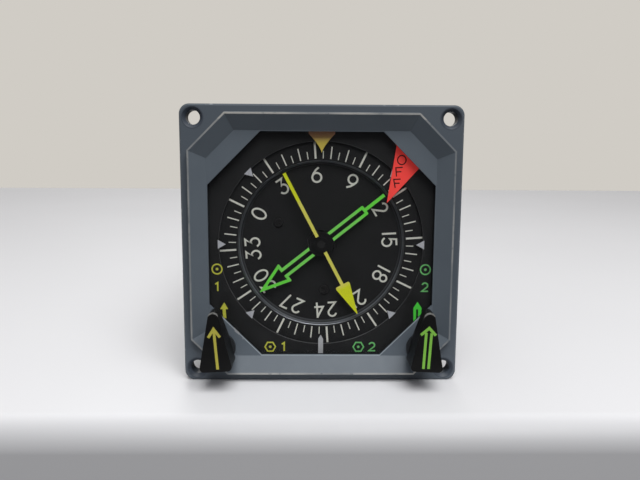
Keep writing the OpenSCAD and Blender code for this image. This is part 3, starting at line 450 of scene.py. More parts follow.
left_ink = screen_ink("receiver_yellow", shade(226, 224, 84), shade(196, 196, 76))
right_ink = screen_ink("receiver_green", shade(126, 216, 128), shade(108, 190, 112), arrow=shade(88, 236, 78))
SIGN_Z, NUMBER_Z, ROW_Z, ROW_STEP = -7.6, -13.1, -32.0, 2.1
BEACON_R, RANGE_R, DOT_R, SIGN_STROKE, NUMBER_STROKE = 1.5, 1.62, 0.42, 0.42, 0.46
ONE = [[(-0.62, 0.82), (0.12, 1.3), (0.12, -1.32)]]
TWO = [ring(0, 0.55, 0.84, 0.8, 165, -38, 14) + [(-0.92, -1.24), (1.05, -1.24)]]
LEFT_ARROW = [(-29.57, -17.93), (-30.89, -20.1), (-30.14, -20.1), (-29.98, -22.9), (-29.0, -22.95),
              (-29.17, -20.1), (-28.4, -20.09)]
RIGHT_ARROW = [(29.71, -17.65), (28.49, -19.61), (28.63, -24.4), (29.4, -24.0), (29.38, -20.05),
               (29.98, -20.05), (30.02, -23.4), (30.86, -22.94), (31.06, -19.61)]


def receiver_marks(name, ink, column_x, row_x, number, arrow):
    """The beacon sign over its number beside the window, and the range sign and number under the dial."""
    marks = bmesh.new()
    for cx, cz, radius, corners in ((column_x, SIGN_Z, BEACON_R, 28), (row_x - ROW_STEP, ROW_Z, RANGE_R, 6)):
        lay_stroke(marks, ring(cx, cz, radius, radius, steps=corners), SIGN_STROKE, MASK_Y, closed=True)
        lay_patch(marks, ring(cx, cz, DOT_R, DOT_R, steps=12), MASK_Y)
    for cx, cz in ((column_x, NUMBER_Z), (row_x + ROW_STEP, ROW_Z)):
        for path in number:
            lay_stroke(marks, [(cx + px, cz + pz) for px, pz in path], NUMBER_STROKE, MASK_Y)
    lay_patch(marks, arrow, MASK_Y)
    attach(new_piece(name, marks, ink), "housing")


receiver_marks("left_receiver_marks", left_ink, column_x=-31.6, row_x=-13.5, number=ONE, arrow=LEFT_ARROW)
receiver_marks("right_receiver_marks", right_ink, column_x=31.85, row_x=13.8, number=TWO, arrow=RIGHT_ARROW)

# The lubber mark over the card is a separate sheet triangle, orange along its top and yellow towards its
# point.
# The mark below the card is a plain pale grey tongue.
lubber = Finish("lubber_orange")
x, y, z = lubber.xyz()
fade = (z * -1.0 + 1.6 * lubber.noise(2.2, 3)).rise(-33.0, -29.2)
lubber_tone = lubber.mix(fade, shade(226, 162, 126), shade(232, 208, 92))
lubber_orange = lubber.close(lubber_tone, 0.5 + 0.12 * lubber.noise(1), lubber.noise(0.3), 0.006,
                             Specular_IOR_Level=0.3)
dress(lubber_orange, "lubber_mark")
dress(screen_ink("mark_grey", shade(196, 196, 200), shade(164, 164, 168)), "lower_mark")

# Compass card
# One dished black disc. Its scale lies on the raised outer ring and its figures a step deeper, both in cream
# silk-screen paint, and three small black screws hold it to the hub.
CARD_HEADING = 64.0
RING_FACE_Y, DISC_FACE_Y, STEP_R, SLOPE_R = -0.7, 1.3, 25.3, 24.1
GROWN_SHARP_ANGLE = 30

card = Finish("card_black")
from_middle = card.off_axis()
slope_foot = from_middle.rise(SLOPE_R, SLOPE_R + 0.15) * from_middle.fall(SLOPE_R + 0.3, SLOPE_R + 0.5)
slope_head = from_middle.rise(SLOPE_R + 0.8, SLOPE_R + 0.95) * from_middle.fall(STEP_R + 0.02, STEP_R + 0.1)
on_slope = from_middle.rise(SLOPE_R, SLOPE_R + 0.2) * from_middle.fall(STEP_R, STEP_R + 0.1)
swirl = card.noise(7, 4)
hairs = card.noise(0.5, 3, (1, 1, 6)).rise(0.7, 0.78)
# Painted reflection: the card's black is a little lighter than the paint, for the glass's faint reflection
# over it.
card_tone = card.mix(swirl * 0.6, shade(28, 28, 29), shade(40, 40, 42))
card_tone = card.mix(hairs * 0.12, card_tone, shade(84, 84, 84))
lit_slope = from_middle.rise(SLOPE_R + 0.5, SLOPE_R + 0.75) * on_slope
card_tone = card.mix(lit_slope, card_tone, shade(108, 111, 117))
card_tone = card.mix((slope_foot * 0.3).most(slope_head * 0.9), card_tone, shade(110, 112, 117))
card_black = card.close(card_tone, 0.58 + 0.1 * swirl - 0.34 * on_slope, card.noise(0.24, 2), 0.005,
                        Metallic=slope_head * 0.9, Specular_IOR_Level=0.2)
disc = copied("compass_card")
lip = [edge for edge in disc.edges if all(abs(hypot(corner.co.x, corner.co.z) / MM - STEP_R) < 0.03
                                          and corner.co.y / MM < RING_FACE_Y + 0.01 for corner in edge.verts)]
bmesh.ops.bevel(disc, geom=lip, offset=0.4 * MM, segments=5, profile=0.5, affect="EDGES")
worked_copy("compass_card", "card_disc", card_black, disc, "card", 0.04)
card_ink = screen_ink("card_cream", shade(238, 237, 228), shade(212, 210, 200))


class Pattern(Bench):
    """A geometry node tree that puts copies of a shape where they belong. Its inputs are the wires given."""

    def __init__(self, name, inputs):
        super().__init__(bpy.data.node_groups.new(name, "GeometryNodeTree"))
        for label, kind in inputs.items():
            self.tree.interface.new_socket(label, in_out="INPUT", socket_type="NodeSocket" + kind)
        self.tree.interface.new_socket("Shape", in_out="OUTPUT", socket_type="NodeSocketGeometry")
        outlets = self.tree.nodes.new("NodeGroupInput").outputs
        self.given = {socket.name: Wire(self, socket) for socket in outlets if socket.name}

    def finished(self, instances, paint):
        real = self.node("GeometryNodeRealizeInstances", None, {"Geometry": instances})
        painted = self.node("GeometryNodeSetMaterial", None, {"Geometry": real, "Material": paint})
        self.output("NodeGroupOutput", painted)
        return self.tree


def scale_tree():
    """Lines round a circle, every nth of which can be left out."""
    bench = Pattern("scale_lines", {
        "Count": "Int", "Left out": "Int", "Inner radius": "Float", "Length": "Float", "Width": "Float",
        "Front": "Float", "Thickness": "Float", "Turn": "Float", "Paint": "Material"})
    wire = bench.given
    index = bench.node("GeometryNodeInputIndex")
    kept = ((index % wire["Left out"]) + (wire["Left out"] < 0.5)) > 0.5
    points = bench.node("GeometryNodePoints", None, {"Count": wire["Count"]})
    size = bench.vector(wire["Width"], wire["Thickness"], wire["Length"])
    line = bench.node("GeometryNodeMeshCube", None, {"Size": size})
    middle = bench.vector(y=wire["Front"] - wire["Thickness"] * 0.5,
                          z=wire["Inner radius"] + wire["Length"] * 0.5)
    placed = bench.node("GeometryNodeTransform", None, {"Geometry": line, "Translation": middle})
    angle = bench.vector(y=index * (2 * pi) / wire["Count"] + wire["Turn"])
    lines = bench.node("GeometryNodeInstanceOnPoints", None,
                       {"Points": points, "Selection": kept, "Instance": placed, "Rotation": angle})
    return bench.finished(lines, wire["Paint"])


def grown(name, tree, values, start=None):
    """A piece made by a geometry node tree with the given inputs, as a plain mesh."""
    piece = bpy.data.objects.new(name, start or bpy.data.meshes.new(name))
    scene.collection.objects.link(piece)
    maker = piece.modifiers.new(name, "NODES")
    maker.node_group = tree
    for item in tree.interface.items_tree:
        if item.in_out == "INPUT" and item.name in values:
            maker[item.identifier] = values[item.name]
    worked_in(piece)
    shade_smooth(piece.data)
    piece.data.set_sharp_from_angle(angle=radians(GROWN_SHARP_ANGLE))
    return piece


scale_lines = scale_tree()
SCALE_R = 25.87
for name, count, left_out, outer, width in (
        ("scale_thirties", 12, 0, 30.9, 0.58), ("scale_tens", 36, 3, 29.5, 0.36),
        ("scale_fives", 72, 2, 28.1, 0.27)):
    lines = grown(name, scale_lines, {
        "Count": count, "Left out": left_out, "Inner radius": SCALE_R * MM, "Length": (outer - SCALE_R) * MM,
        "Width": width * MM, "Front": RING_FACE_Y * MM, "Thickness": FILM * MM,
        "Turn": radians(-CARD_HEADING), "Paint": card_ink})
    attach(lines, "card")

# Figures: each is drawn as pen strokes on a grid one figure high, with its width, and printed tops outward.
FIGURE_HEIGHT, FIGURE_STROKE, FIGURE_MIDDLE_R, FIGURE_GAP, STROKE_STEP = 4.37, 0.58, 21.0, 0.345, 0.006
SIX = [(ring(.315, .315, .315, .315), True), ([(.49, 1), (.27, .83), (.1, .6), (.03, .44)], False)]
FIGURES = {
    "0": (.634, [(ring(.317, .5, .317, .5, steps=36), True)]),
    "1": (0, [([(0, 0), (0, 1)], False)]),
    "2": (.54, [(ring(.27, .73, .27, .27, 168, -32, 16) + [(.02, 0), (.56, 0)], False)]),
    "3": (.55, [([(.02, 1), (.5, 1), (.235, .62)] + ring(.235, .315, .3, .315, 88, -160, 20), False)]),
    "4": (.62, [([(.45, 1), (.02, .27), (.64, .27)], False), ([(.45, 1.06), (.45, -.06)], False)]),
    "5": (.54, [([(.5, 1), (.08, 1), (.03, .56)] + ring(.235, .325, .3, .325, 128, -155, 20), False)]),
    "6": (.63, SIX),
    "7": (.5, [([(-.02, 1), (.5, 1), (.14, -.03)], False)]),
    "8": (.58, [(ring(.29, .27, .29, .27), True), (ring(.29, .77, .24, .24), True)]),
    "9": (.63, [([(.63 - gx, 1 - gz) for gx, gz in path], loop) for path, loop in SIX]),
}
FIGURE_LEAN = {0: -0.5, 12: 1.5, 15: 0.9, 18: 1.5, 21: 0.5, 27: -0.8, 33: -0.5}
figures = bmesh.new()
for tens in range(0, 36, 3):
    text = str(tens)
    out, across = outward(tens * 10 - CARD_HEADING + FIGURE_LEAN.get(tens, 0))
    cursor = -(sum(FIGURES[c][0] for c in text) + FIGURE_GAP * (len(text) - 1)) / 2
    for c in text:
        width, strokes = FIGURES[c]
        for layer, (path, loop) in enumerate(strokes):
            laid = [out * (FIGURE_MIDDLE_R + (gz - 0.5) * FIGURE_HEIGHT)
                    + across * (cursor + gx) * FIGURE_HEIGHT for gx, gz in path]
            lay_stroke(figures, laid, FIGURE_STROKE, DISC_FACE_Y, FILM + STROKE_STEP * layer, loop)
        cursor += width + FIGURE_GAP
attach(new_piece("card_figures", figures, card_ink), "card")

# Screws
# Small cross-headed machine screws: sixteen countersunk ones hold the case tube, four hold the connector and
# three black ones the card. Their recesses are pressed and their edges rubbed.
def metal(name, tone, dark, rough=0.3, grain=(1, 1, 1), size=0.6, relief=0.004, tarnish=0.5, metallic=1.0):
    """Bare worked metal: tool marks drawn out along grain, and a duller bloom in patches."""
    stock = Finish(name)
    marks, dull = stock.noise(size, 3, grain), stock.noise(7, 4).rise(0.35, 0.75)
    colour = stock.mix(dull * tarnish, stock.mix(marks * 0.25, tone, dark), dark)
    return stock.close(colour, rough + 0.12 * marks + 0.16 * dull, marks, relief, Metallic=metallic)


steel = metal("screw_steel", shade(186, 187, 189), shade(120, 119, 116), 0.28, size=0.4)
black_steel = metal("blackened_steel", shade(38, 38, 40), shade(58, 56, 54), 0.4, metallic=0.6)


def screw_tree():
    """A cross-headed screw at each point, its head facing along the point's outward direction."""
    bench = Pattern("cross_headed_screws", {
        "Places": "Geometry", "Head under": "Float", "Head radius": "Float", "Top radius": "Float",
        "Head height": "Float", "Shank radius": "Float", "Shank length": "Float", "Recess width": "Float",
        "Recess depth": "Float", "Metal": "Material"})
    wire = bench.given

    def moved(shape, height):
        lift = bench.vector(z=height)
        return bench.node("GeometryNodeTransform", None, {"Geometry": shape, "Translation": lift})

    top = wire["Head under"] + wire["Head height"]
    head = moved(bench.node("GeometryNodeMeshCone", None, {
        "Vertices": 24, "Radius Top": wire["Top radius"], "Radius Bottom": wire["Head radius"],
        "Depth": wire["Head height"]}), wire["Head under"])
    long, wide = wire["Head radius"].most(wire["Top radius"]) * 1.1, wire["Recess width"]
    deep = wire["Recess depth"] * 2.0
    bars = [moved(bench.node("GeometryNodeMeshCube", None, {"Size": bench.vector(x, y, deep)}), top)
            for x, y in ((long, wide), (wide, long))]
    cut_head = bench.node("GeometryNodeMeshBoolean", {"operation": "DIFFERENCE", "solver": "EXACT"},
                          {"Mesh 1": head, "Mesh 2": bars})
    shank = moved(bench.node("GeometryNodeMeshCylinder", None, {
        "Vertices": 16, "Radius": wire["Shank radius"], "Depth": wire["Shank length"]}),
        wire["Head under"] - wire["Shank length"] * 0.5)
    whole = bench.node("GeometryNodeJoinGeometry", None, {0: [cut_head, shank]})
    facing = bench.node("GeometryNodeInputNamedAttribute", {"data_type": "FLOAT_VECTOR"}, {"Name": "facing"})
    aim = bench.node("FunctionNodeAlignRotationToVector", {"axis": "Z"}, {"Vector": facing})
    spin = bench.node("FunctionNodeRandomValue", {"data_type": "FLOAT"}, {"Seed": 7}, out=1)
    own = bench.vector(z=spin * (2 * pi))
    turned = bench.node("FunctionNodeRotateRotation", {"rotation_space": "LOCAL"},
                        {"Rotation": aim, "Rotate By": own})
    placed = bench.node("GeometryNodeInstanceOnPoints", None, {
        "Points": wire["Places"], "Instance": whole, "Rotation": turned})
    return bench.finished(placed, wire["Metal"])


def screws(name, node, places, finish, under, head, top, height, shank, length, recess=0.32):
    """Screws at (place, facing) pairs, in millimetres; under is where the head starts along its own axis."""
    start = bpy.data.meshes.new(name)
    start.from_pydata([Vector(place) * MM for place, facing in places], [], [])
    start.attributes.new("facing", "FLOAT_VECTOR", "POINT").data.foreach_set(
        "vector", [part for place, facing in places for part in facing])
    values = {"Head under": under, "Head radius": head, "Top radius": top, "Head height": height,
              "Shank radius": shank, "Shank length": length,
              "Recess width": recess, "Recess depth": height * 0.6}
    values = {key: value * MM for key, value in values.items()}
    piece = grown(name, SCREWS, dict(values, Metal=finish), start)
    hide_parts(node)
    return piece


SCREWS = screw_tree()
CASE_HALF, SIDE_SCREW, FRONT_SCREW_Y, REAR_SCREW_Y, FLUSH = 39.25, 20.0, 1.4, 168.5, 0.02
side_places = []
for turn in (0, 90, 180, 270):
    face, along = [Vector((way.x, 0, way.y)) for way in outward(turn)]
    side_places += [(face * (CASE_HALF - FLUSH) + along * (s * SIDE_SCREW) + Vector((0, depth, 0)), face)
                    for s in (-1, 1) for depth in (FRONT_SCREW_Y, REAR_SCREW_Y)]
case_screw_set = screws("case_screw_set", "case_screws", side_places, steel,
                        under=-0.55, head=0.8, top=1.33, height=0.55, shank=0.8, length=2.6)
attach(case_screw_set, "housing")
CARD_SCREW_R = 14.5
card_places = [((CARD_SCREW_R * sin(turn), DISC_FACE_Y, CARD_SCREW_R * cos(turn)), (0, -1, 0))
               for turn in map(radians, (56, 176, 296))]
card_screw_set = screws("card_screw_set", "card_screws", card_places, black_steel,
                        under=0.0, head=1.38, top=1.2, height=0.6, shank=0.7, length=2.5)
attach(card_screw_set, "card")
PLUG_SCREW, PLUG_FACE_Y = 10.5, 178.0
plug_places = [((sx * PLUG_SCREW, PLUG_FACE_Y, sz * PLUG_SCREW), (0, 1, 0))
               for sx in (-1, 1) for sz in (-1, 1)]
plug_screw_set = screws("connector_screw_set", "connector_screws", plug_places, steel,
                        under=0.0, head=2.2, top=1.75, height=1.4, shank=1.25, length=4.2, recess=0.5)
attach(plug_screw_set, "housing")
dress(steel, "frame_screws")

# Pointers
# Two flat aluminium pointers in fluorescent paint: the single yellow one on the inner shaft, and under it the
# double green one on the hollow shaft. Their hubs are painted black like the dial.
HEAD_FROM_R = 14.0


def pointer_paint(name, tone, bright, hub_r):
    """Fluorescent paint, fresher on the arrowhead, worn thin along the bar, black on the hub."""
    coat = Finish(name)
    reach = coat.off_axis()
    patchy = coat.noise(2.4, 4)
    paint = coat.mix(reach.rise(HEAD_FROM_R, HEAD_FROM_R + 1.5), tone, bright)
    colour = coat.mix(patchy.rise(0.45, 0.8) * 0.2, paint, coat.mix(0.4, tone, shade(90, 96, 40)))
    colour = coat.mix(reach > hub_r, shade(15, 15, 17), colour)
    return coat.close(colour, 0.46 + 0.14 * patchy, coat.noise(0.3, 2), 0.008, Specular_IOR_Level=0.25)


dress(pointer_paint("pointer_yellow", shade(244, 236, 108), shade(238, 243, 40), 2.6), "single_pointer")
dress(pointer_paint("pointer_green", shade(138, 238, 106), shade(120, 244, 82), 3.9), "double_pointer")

# Warning flag
# A tin flag in fluorescent red with OFF in black. It hangs from a steel staff behind the window's upper right
# corner, and a small coil turns the magnet on the staff to swing it out of sight when the power is on.
FLAG_FRONT_Y, LETTER_STROKE, WIRE_PITCH = -2.225, 0.34, 0.3
FLAG_STAFF, FLAG_HEEL, FLAG_CORNER = Vector((22.036, 0, 32.5)), Vector((1.8, 0, 0)), Vector((7.3, 0, -9.015))
flag = Finish("flag_red")
x, y, z = flag.xyz()
sun = flag.noise(5, 3)
flag_tone = flag.mix(sun * 0.6, shade(255, 72, 68), shade(255, 96, 84))
# Painted shade: the red is darker towards the flag's top, under the window's upper edge.
flag_tone = flag.mix(z.rise(25.0, 33.0) * 0.4, flag_tone, shade(226, 56, 60))
# Painted light: the flag's paint also glows a little by itself, standing in for its fluorescence.
glowing_flag_paint = flag.close(flag_tone, 0.48 + 0.12 * flag.noise(1), flag.noise(0.3), 0.008,
                        Specular_IOR_Level=0.3, Emission_Color=shade(255, 60, 56), Emission_Strength=0.2)
# The blade's outer edge is filed straight from its corner to the staff, so that it clears the spacer.
away = (FLAG_CORNER - FLAG_HEEL).cross(Vector((0, 1, 0))).normalized()
blade = copied("off_flag")
for vertex in blade.verts:
    beyond = (vertex.co / MM - FLAG_STAFF - FLAG_HEEL).dot(away)
    vertex.co -= away * max(0.0, beyond) * MM
worked_copy("off_flag", "flag_blade", glowing_flag_paint, blade, "flag", 0.04, 1)
letters = bmesh.new()
lay_stroke(letters, ring(23.745, 25.55, 1.26, 1.345, steps=30), LETTER_STROKE, FLAG_FRONT_Y, closed=True)
for path in ([(24.09, 23.4), (22.03, 23.25), (22.29, 20.7)], [(23.69, 22.13), (22.14, 22.04)],
             [(23.52, 19.92), (21.46, 19.82), (21.97, 17.29)], [(23.26, 18.72), (21.7, 18.66)]):
    lay_stroke(letters, path, LETTER_STROKE, FLAG_FRONT_Y)
flag_ink = screen_ink("flag_ink", shade(26, 14, 14), shade(52, 22, 20))
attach(new_piece("flag_letters", letters, flag_ink), "flag")
dress(steel, "flag_staff")
winding = Finish("enamelled_copper")
x, y, z = winding.xyz()
turns = (y * (2 * pi / WIRE_PITCH)).sine()
wire_tone = winding.mix(winding.noise(2, 3), shade(168, 84, 44), shade(120, 52, 28))
dress(winding.close(wire_tone, 0.3 + 0.1 * winding.noise(1), turns, 0.03, Metallic=0.7, Coat_Weight=0.4),
      "flag_coil")

# Selector knobs
# Two wedge-shaped pointer knobs on round skirts, moulded in black plastic, with an arrow filled in yellow or
# green on top. Each is pinned to a steel shaft that turns in a brass bushing and works the switch behind.
KNOB_TOP_Y, KNOB_MIDDLE_Y, KNOB_SKIRT_Y, ARROW_ROOM, ARROW_STEP = -17.0, -13.0, -9.1, 0.03, 0.008
HEEL_Z, TIP_Z, TIP_HALF, TIP_RISE, TIP_DROP, TIP_UNDERCUT = -34.0, -17.5, 1.3, 0.4, 0.8, 3.6
TIP_PLACE, TIP_CURVE, TIP_RUB_GLINT_Z, TIP_RUB_GLINT_WIDTH = 30.68, 0.38, -17.5, 0.18


def knob_plastic(name, side):
    """Black moulded plastic, a lighter grey on the skirt, rubbed pale at the tip with a painted highlight
    there too.
    """
    moulded = Finish(name)
    x, y, z = moulded.xyz()
    off_tip = x - side * TIP_PLACE
    # The tip's pale arc is partly rubbed plastic and partly a painted highlight.
    tip_arc = (z + off_tip * off_tip * TIP_CURVE).rise(TIP_RUB_GLINT_Z - TIP_RUB_GLINT_WIDTH, TIP_RUB_GLINT_Z)
    tip_wear_and_highlight = tip_arc * (y < KNOB_TOP_Y + 0.3) * moulded.noise(1.4, 3).rise(0.25, 0.5)
    grease = moulded.noise(5, 3)
    colour = moulded.mix(grease * 0.6, shade(5, 5, 6), shade(13, 13, 14))
    colour = moulded.mix((y > KNOB_SKIRT_Y) * 0.8, colour, shade(42, 45, 48))
    colour = moulded.mix(tip_wear_and_highlight * 0.75, colour, shade(150, 150, 146))
    return moulded.close(colour, 0.34 + 0.2 * grease + 0.1 * tip_wear_and_highlight, moulded.noise(0.3, 2), 0.01,
                         Specular_IOR_Level=0.3)


def knob_arrow(name, body, ink, strokes):
    """An arrow on a knob's top, each stroke lying a step over the one before."""
    mark = bmesh.new()
    for layer, (path, width) in enumerate(strokes):
        lay_stroke(mark, path, width, KNOB_TOP_Y + ARROW_ROOM, ARROW_STEP * (layer + 1))
    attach(new_piece(name, mark, ink), body)


# Each tip is rounded, leans a little and is undercut from the skirt on. Its top is let in under the arrow.
for node, name, body, side, tip_x, lean, wider in (
        ("left_knob", "left_knob_moulding", "left_selector", -1, -30.98, 0.28, 0.1),
        ("right_knob", "right_knob_moulding", "right_selector", 1, 30.87, -0.22, 0.2)):
    knob = copied(node)
    for offset in (-0.7, 0.0, 0.7):
        bmesh.ops.bisect_plane(knob, geom=knob.verts[:] + knob.edges[:] + knob.faces[:], dist=1e-6,
                               plane_co=((tip_x + offset) * MM, 0, 0), plane_no=(1, 0, 0))
    for corner in knob.verts:
        across, up = (corner.co.x / MM - tip_x) / TIP_HALF, corner.co.z / MM
        if up > TIP_Z - 0.5:
            corner.co.z += (TIP_RISE - TIP_DROP * across ** 2) * MM
            corner.co.x += wider * across * MM
            if corner.co.y / MM > KNOB_MIDDLE_Y:
                corner.co.y -= TIP_UNDERCUT * MM
        corner.co.x += lean * (up - HEEL_Z) / (TIP_Z - HEEL_Z) * MM
        corner.co.y = max(corner.co.y, (KNOB_TOP_Y + ARROW_ROOM) * MM)
    worked_copy(node, name, knob_plastic(name + "_plastic", side), knob, body, 0.4, 3)
knob_arrow("left_knob_arrow", "left_selector",
           screen_ink("arrow_yellow", shade(190, 182, 74), shade(140, 132, 62), 0.8),
           [([(-32.1, -24.5), (-30.55, -21.95), (-28.78, -24.35)], 0.8),
            ([(-30.5, -22.2), (-29.56, -33.8)], 0.78)])
knob_arrow("right_knob_arrow", "right_selector",
           screen_ink("arrow_green", shade(132, 196, 74), shade(112, 160, 72), 0.8),
           [([(28.2, -23.6), (30.56, -21.6), (32.5, -23.75)], 0.82), ([(29.75, -22.9), (29.2, -33.6)], 0.78),
            ([(31.25, -23.1), (30.66, -33.6)], 0.78)])
brass = metal("turned_brass", shade(196, 160, 92), shade(132, 100, 52), 0.26, size=0.5)
shaft_steel = metal("ground_steel", shade(184, 186, 188), shade(128, 128, 126), 0.22, (5, 1, 5), 0.15)
dress(brass, "knob_bushings", "idler_bush")
dress(shaft_steel, "left_knob_shaft", "right_knob_shaft")


def moulded_plastic(name, tone, pale, rough=0.5, grain=0.4):
    """Moulded plastic, faintly clouded, with the grain of its mould."""
    stock = Finish(name)
    cloud = stock.noise(6, 4)
    colour = stock.mix(cloud, tone, pale)
    return stock.close(colour, rough + 0.12 * stock.noise(2), stock.noise(grain, 2), 0.012)


dress(moulded_plastic("switch_phenolic", shade(58, 66, 44), shade(74, 80, 56)), "left_switch", "right_switch")

# Dial lamps
# Two tiny lamps with clear glass bulbs light the dial from behind the mask's edge. They are pushed into
# sockets in the front frame, and are unlit in the photograph.
bulb = Finish("lamp_glass")
bulb_tone = bulb.mix(bulb.noise(1.2), shade(236, 232, 214), shade(214, 206, 180))
dress(bulb.close(bulb_tone, 0.08 + 0.1 * bulb.noise(2), bulb.noise(0.5), 0.003, Coat_Weight=0.5, IOR=1.5),
      "dial_lamps")

# Frame
# Front frame, bearing plate, middle and end plates and their posts are milled aluminium, filmed to a faint
# straw colour. Screws clamp them in a stack that carries the whole mechanism.
plate_alloy = metal("filmed_alloy", shade(190, 188, 176), shade(156, 148, 122), 0.34, (9, 9, 1), 0.3,
                    relief=0.005, tarnish=0.4)
post_alloy = metal("turned_alloy", shade(192, 193, 194), shade(150, 150, 148), 0.3, (1, 0.25, 1), 0.6)
dress(plate_alloy, "front_frame", "bearing_plate", "middle_plate", "end_plate", "board_rails")
dress(post_alloy, "front_posts", "mechanism_posts", "card_hub")

# Card drive
# The card's hub turns on twelve steel balls in a ring bearing. A servo motor's pinion turns the idler and the
# card gear, and the heading synchro's gear follows the card tooth for tooth. The gears are hobbed brass.
gear_brass = metal("hobbed_brass", shade(200, 166, 96), shade(140, 108, 58), 0.3, (1, 6, 1), 0.35,
                   relief=0.006)
race_steel = metal("bearing_steel", shade(196, 198, 202), shade(150, 150, 150), 0.14, size=0.8, relief=0.001,
                   tarnish=0.2)
dress(gear_brass, "card_gear", "idler_gears", "heading_gear")
dress(race_steel, "card_bearing", "bearing_balls")

# The wound rotors are thin varnished steel sheets stacked along the shaft, with copper showing between.
SHEET_PITCH = 0.7
stack = Finish("rotor_stack")
x, y, z = stack.xyz()
patch = stack.noise(3, 3)
stack_tone = stack.mix(patch.rise(0.5, 0.62), shade(132, 128, 122), shade(156, 88, 52))
sheets = (y * (2 * pi / SHEET_PITCH)).sine()
dress(stack.close(stack_tone, 0.36 + 0.1 * patch, sheets, 0.05, Metallic=0.8, Coat_Weight=0.2),
      "front_synchro_rotor", "rear_synchro_rotor", "motor_rotor", "heading_rotor")
motor_black = Finish("motor_black")
motor_wear = motor_black.noise(2.2, 5).rise(0.6, 0.7)
motor_tone = motor_black.mix(motor_wear * 0.35, shade(34, 36, 38), shade(120, 120, 118))
dress(motor_black.close(motor_tone, 0.42 + 0.15 * motor_black.noise(1), motor_black.noise(0.3), 0.012),
      "servo_motor_body")

# Synchros
# Each pointer has its own torque synchro on the centre line: a drawn aluminium can with a pressed cap, clear
# anodised. The hollow shaft ends in the front one, and the inner shaft runs through to the rear one.
can_alloy = metal("anodised_can", shade(170, 171, 170), shade(132, 132, 128), 0.38, (6, 1, 6), 0.25,
                  tarnish=0.35)
cap_alloy = metal("anodised_cap", shade(150, 151, 150), shade(112, 112, 108), 0.42, size=0.5, tarnish=0.35)
dress(can_alloy, "front_synchro_body", "rear_synchro_body", "heading_synchro_body")
dress(cap_alloy, "front_synchro_cap", "rear_synchro_cap")
for node, painted_y in (("hollow_shaft", -0.9), ("inner_shaft", -1.6)):
    turned = Finish(node + "_steel")
    x, y, z = turned.xyz()
    marks = turned.noise(0.15, 3, (5, 1, 5))
    turned_tone = turned.mix(marks * 0.3, shade(184, 186, 188), shade(128, 128, 126))
    painted = y < painted_y
    shaft_tone = turned.mix(painted, turned_tone, shade(16, 16, 17))
    shaft_finish = turned.close(shaft_tone, 0.22 + 0.12 * marks + painted * 0.3, marks, 0.004,
                                Metallic=1 - painted)
    dress(shaft_finish, node)

# Electronics
# Two glass-fibre boards stand on rails in the rear bay, with black amplifier blocks and round capacitors
# soldered to them. A lacquered transformer with a paper-wrapped coil sits between them.
WEAVE_RATE, LONG_TRACK_PITCH, CROSS_TRACK_PITCH = 9.0, 3.4, 7.0
BOARD_THICKNESS, BLOCK_HEIGHT = 1.65, 6.2
for node, side in (("left_board", -1), ("right_board", 1)):
    box_low, box_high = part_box(node)
    outer_face = (box_high.x if side > 0 else -box_low.x) / MM
    board = Finish(node + "_laminate")
    x, y, z = board.xyz()
    off_board = outer_face - abs(x)
    weave = (y * WEAVE_RATE).sine() * (z * WEAVE_RATE).sine()
    long_track = (abs(z % LONG_TRACK_PITCH) < 0.55) * board.noise(9, 0, (1, 3, 1)).rise(0.42, 0.5)
    cross_track = (abs(y % CROSS_TRACK_PITCH) < 0.5) * board.noise(11, 0, (1, 1, 3)).rise(0.5, 0.56)
    track = long_track.most(cross_track)
    laminate_green = board.mix(weave * 0.15 + 0.3, shade(22, 70, 44), shade(38, 98, 60))
    tracked = board.mix(track * 0.8, laminate_green, shade(88, 132, 66))
    past_blocks = off_board.rise(BLOCK_HEIGHT, BLOCK_HEIGHT + 0.4)
    parts_tone = board.mix(past_blocks, shade(30, 30, 31), shade(52, 74, 128))
    colour = board.mix(off_board.rise(BOARD_THICKNESS, BOARD_THICKNESS + 0.1), tracked, parts_tone)
    dress(board.close(colour, 0.38 + 0.15 * board.noise(2), track + 0.2 * weave, 0.03, Coat_Weight=0.25),
          node)

CORE_MIDDLE_Y, CORE_HALF_Y, CORE_HALF_Z, COIL_HALF_X, PLY_PITCH = 94.5, 13.1, 12.05, 11.05, 0.8
lacquer = Finish("transformer_lacquer")
x, y, z = lacquer.xyz()
on_coil = (abs(z) > CORE_HALF_Z).most((abs(x) < COIL_HALF_X) * (abs(y - CORE_MIDDLE_Y) > CORE_HALF_Y))
plies = (y * (2 * pi / PLY_PITCH)).sine()
paper = lacquer.mix(lacquer.noise(3, 4), shade(168, 120, 54), shade(128, 84, 36))
core_tone = lacquer.mix(lacquer.noise(5, 4), shade(74, 62, 54), shade(96, 80, 66))
dress(lacquer.close(lacquer.mix(on_coil, core_tone, paper), 0.35 + 0.2 * lacquer.noise(2), plies, 0.05,
                    Coat_Weight=0.3), "transformer")

# Case
# A deep-drawn eight-sided aluminium tube slides over the mechanism and a flat cover closes its back. Both are
# sprayed in fine-textured black, rubbed to metal along the long corners, and held by the countersunk screws.
CASE_CUT, RUBBED_WIDTH = 48.33, 0.35


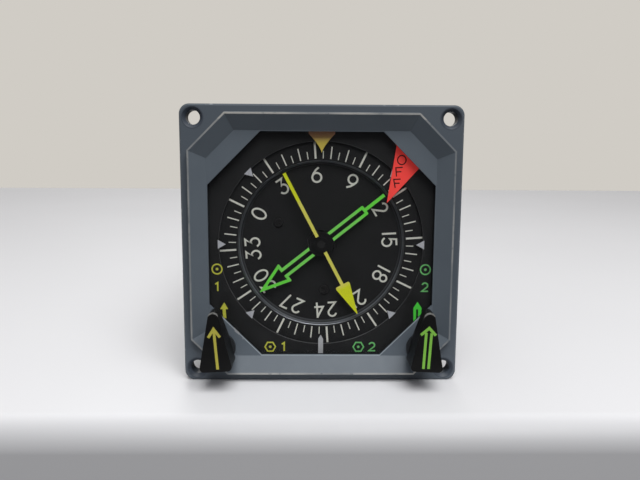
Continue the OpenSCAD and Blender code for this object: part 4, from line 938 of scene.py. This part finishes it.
def case_coat(name, back):
    """Fine-textured black, rubbed to metal here and there along the long edges and round the back end."""
    coat = Finish(name)
    x, y, z = coat.xyz()
    half_width, half_cut = eight_sided(x, z)
    past_side, past_cut = half_width - CASE_HALF, half_cut - CASE_CUT
    long_edge = abs(past_side).fall(0.05, 0.4) * abs(past_cut).fall(0.05, 0.4)
    back_edge = (y > back - RUBBED_WIDTH) * (past_side.most(past_cut) > -RUBBED_WIDTH)
    worn = long_edge.most(back_edge) * coat.noise(5, 5, (1, 3, 1)).rise(0.46, 0.62)
    leather = coat.noise(0.55, 2)
    dust = coat.noise(18, 4).rise(0.4, 0.8)
    colour = coat.mix(dust * 0.5, shade(31, 32, 34), shade(48, 49, 51))
    scratch = coat.noise(0.5, 2, (1, 14, 1)).rise(0.76, 0.8)
    colour = coat.mix(scratch * 0.25, colour, shade(96, 96, 96))
    colour = coat.mix(worn * 0.7, colour, shade(150, 150, 148))
    return coat.close(colour, 0.5 + 0.14 * leather + 0.1 * dust, leather - worn, 0.05, Specular_IOR_Level=0.4)


for node, name, finish in (("case_tube", "case_shell", case_coat("case_black", back=172)),
                           ("rear_cover", "rear_cover_plate", case_coat("cover_black", back=176))):
    worked_copy(node, name, finish, copied(node), "housing", 0.2)

# Connector
# A bayonet connector on the rear cover carries all the wiring: an aluminium shell in olive cadmium finish, a
# moulded insert, and nineteen gold-plated pins. Four pan-headed screws hold its square flange.
cadmium = Finish("olive_cadmium")
iridescent = cadmium.noise(4, 4)
cadmium_tone = cadmium.mix(iridescent.rise(0.35, 0.65), shade(104, 104, 62), shade(132, 120, 70))
cadmium_tone = cadmium.mix(cadmium.noise(1.2, 4).rise(0.62, 0.72) * 0.5, cadmium_tone, shade(150, 148, 132))
olive_cadmium = cadmium.close(cadmium_tone, 0.38 + 0.15 * iridescent, cadmium.noise(0.3), 0.008,
                              Metallic=0.75)
worked_copy("connector_shell", "connector_housing", olive_cadmium, copied("connector_shell"), "housing",
            0.15)
dress(moulded_plastic("insert_moulding", shade(30, 62, 56), shade(38, 74, 66), 0.42, 0.3), "connector_insert")
plated_gold = metal("plated_gold", shade(226, 184, 88), shade(190, 146, 62), 0.2, size=0.4, relief=0.002,
                    tarnish=0.3)
dress(plated_gold, "connector_pins")
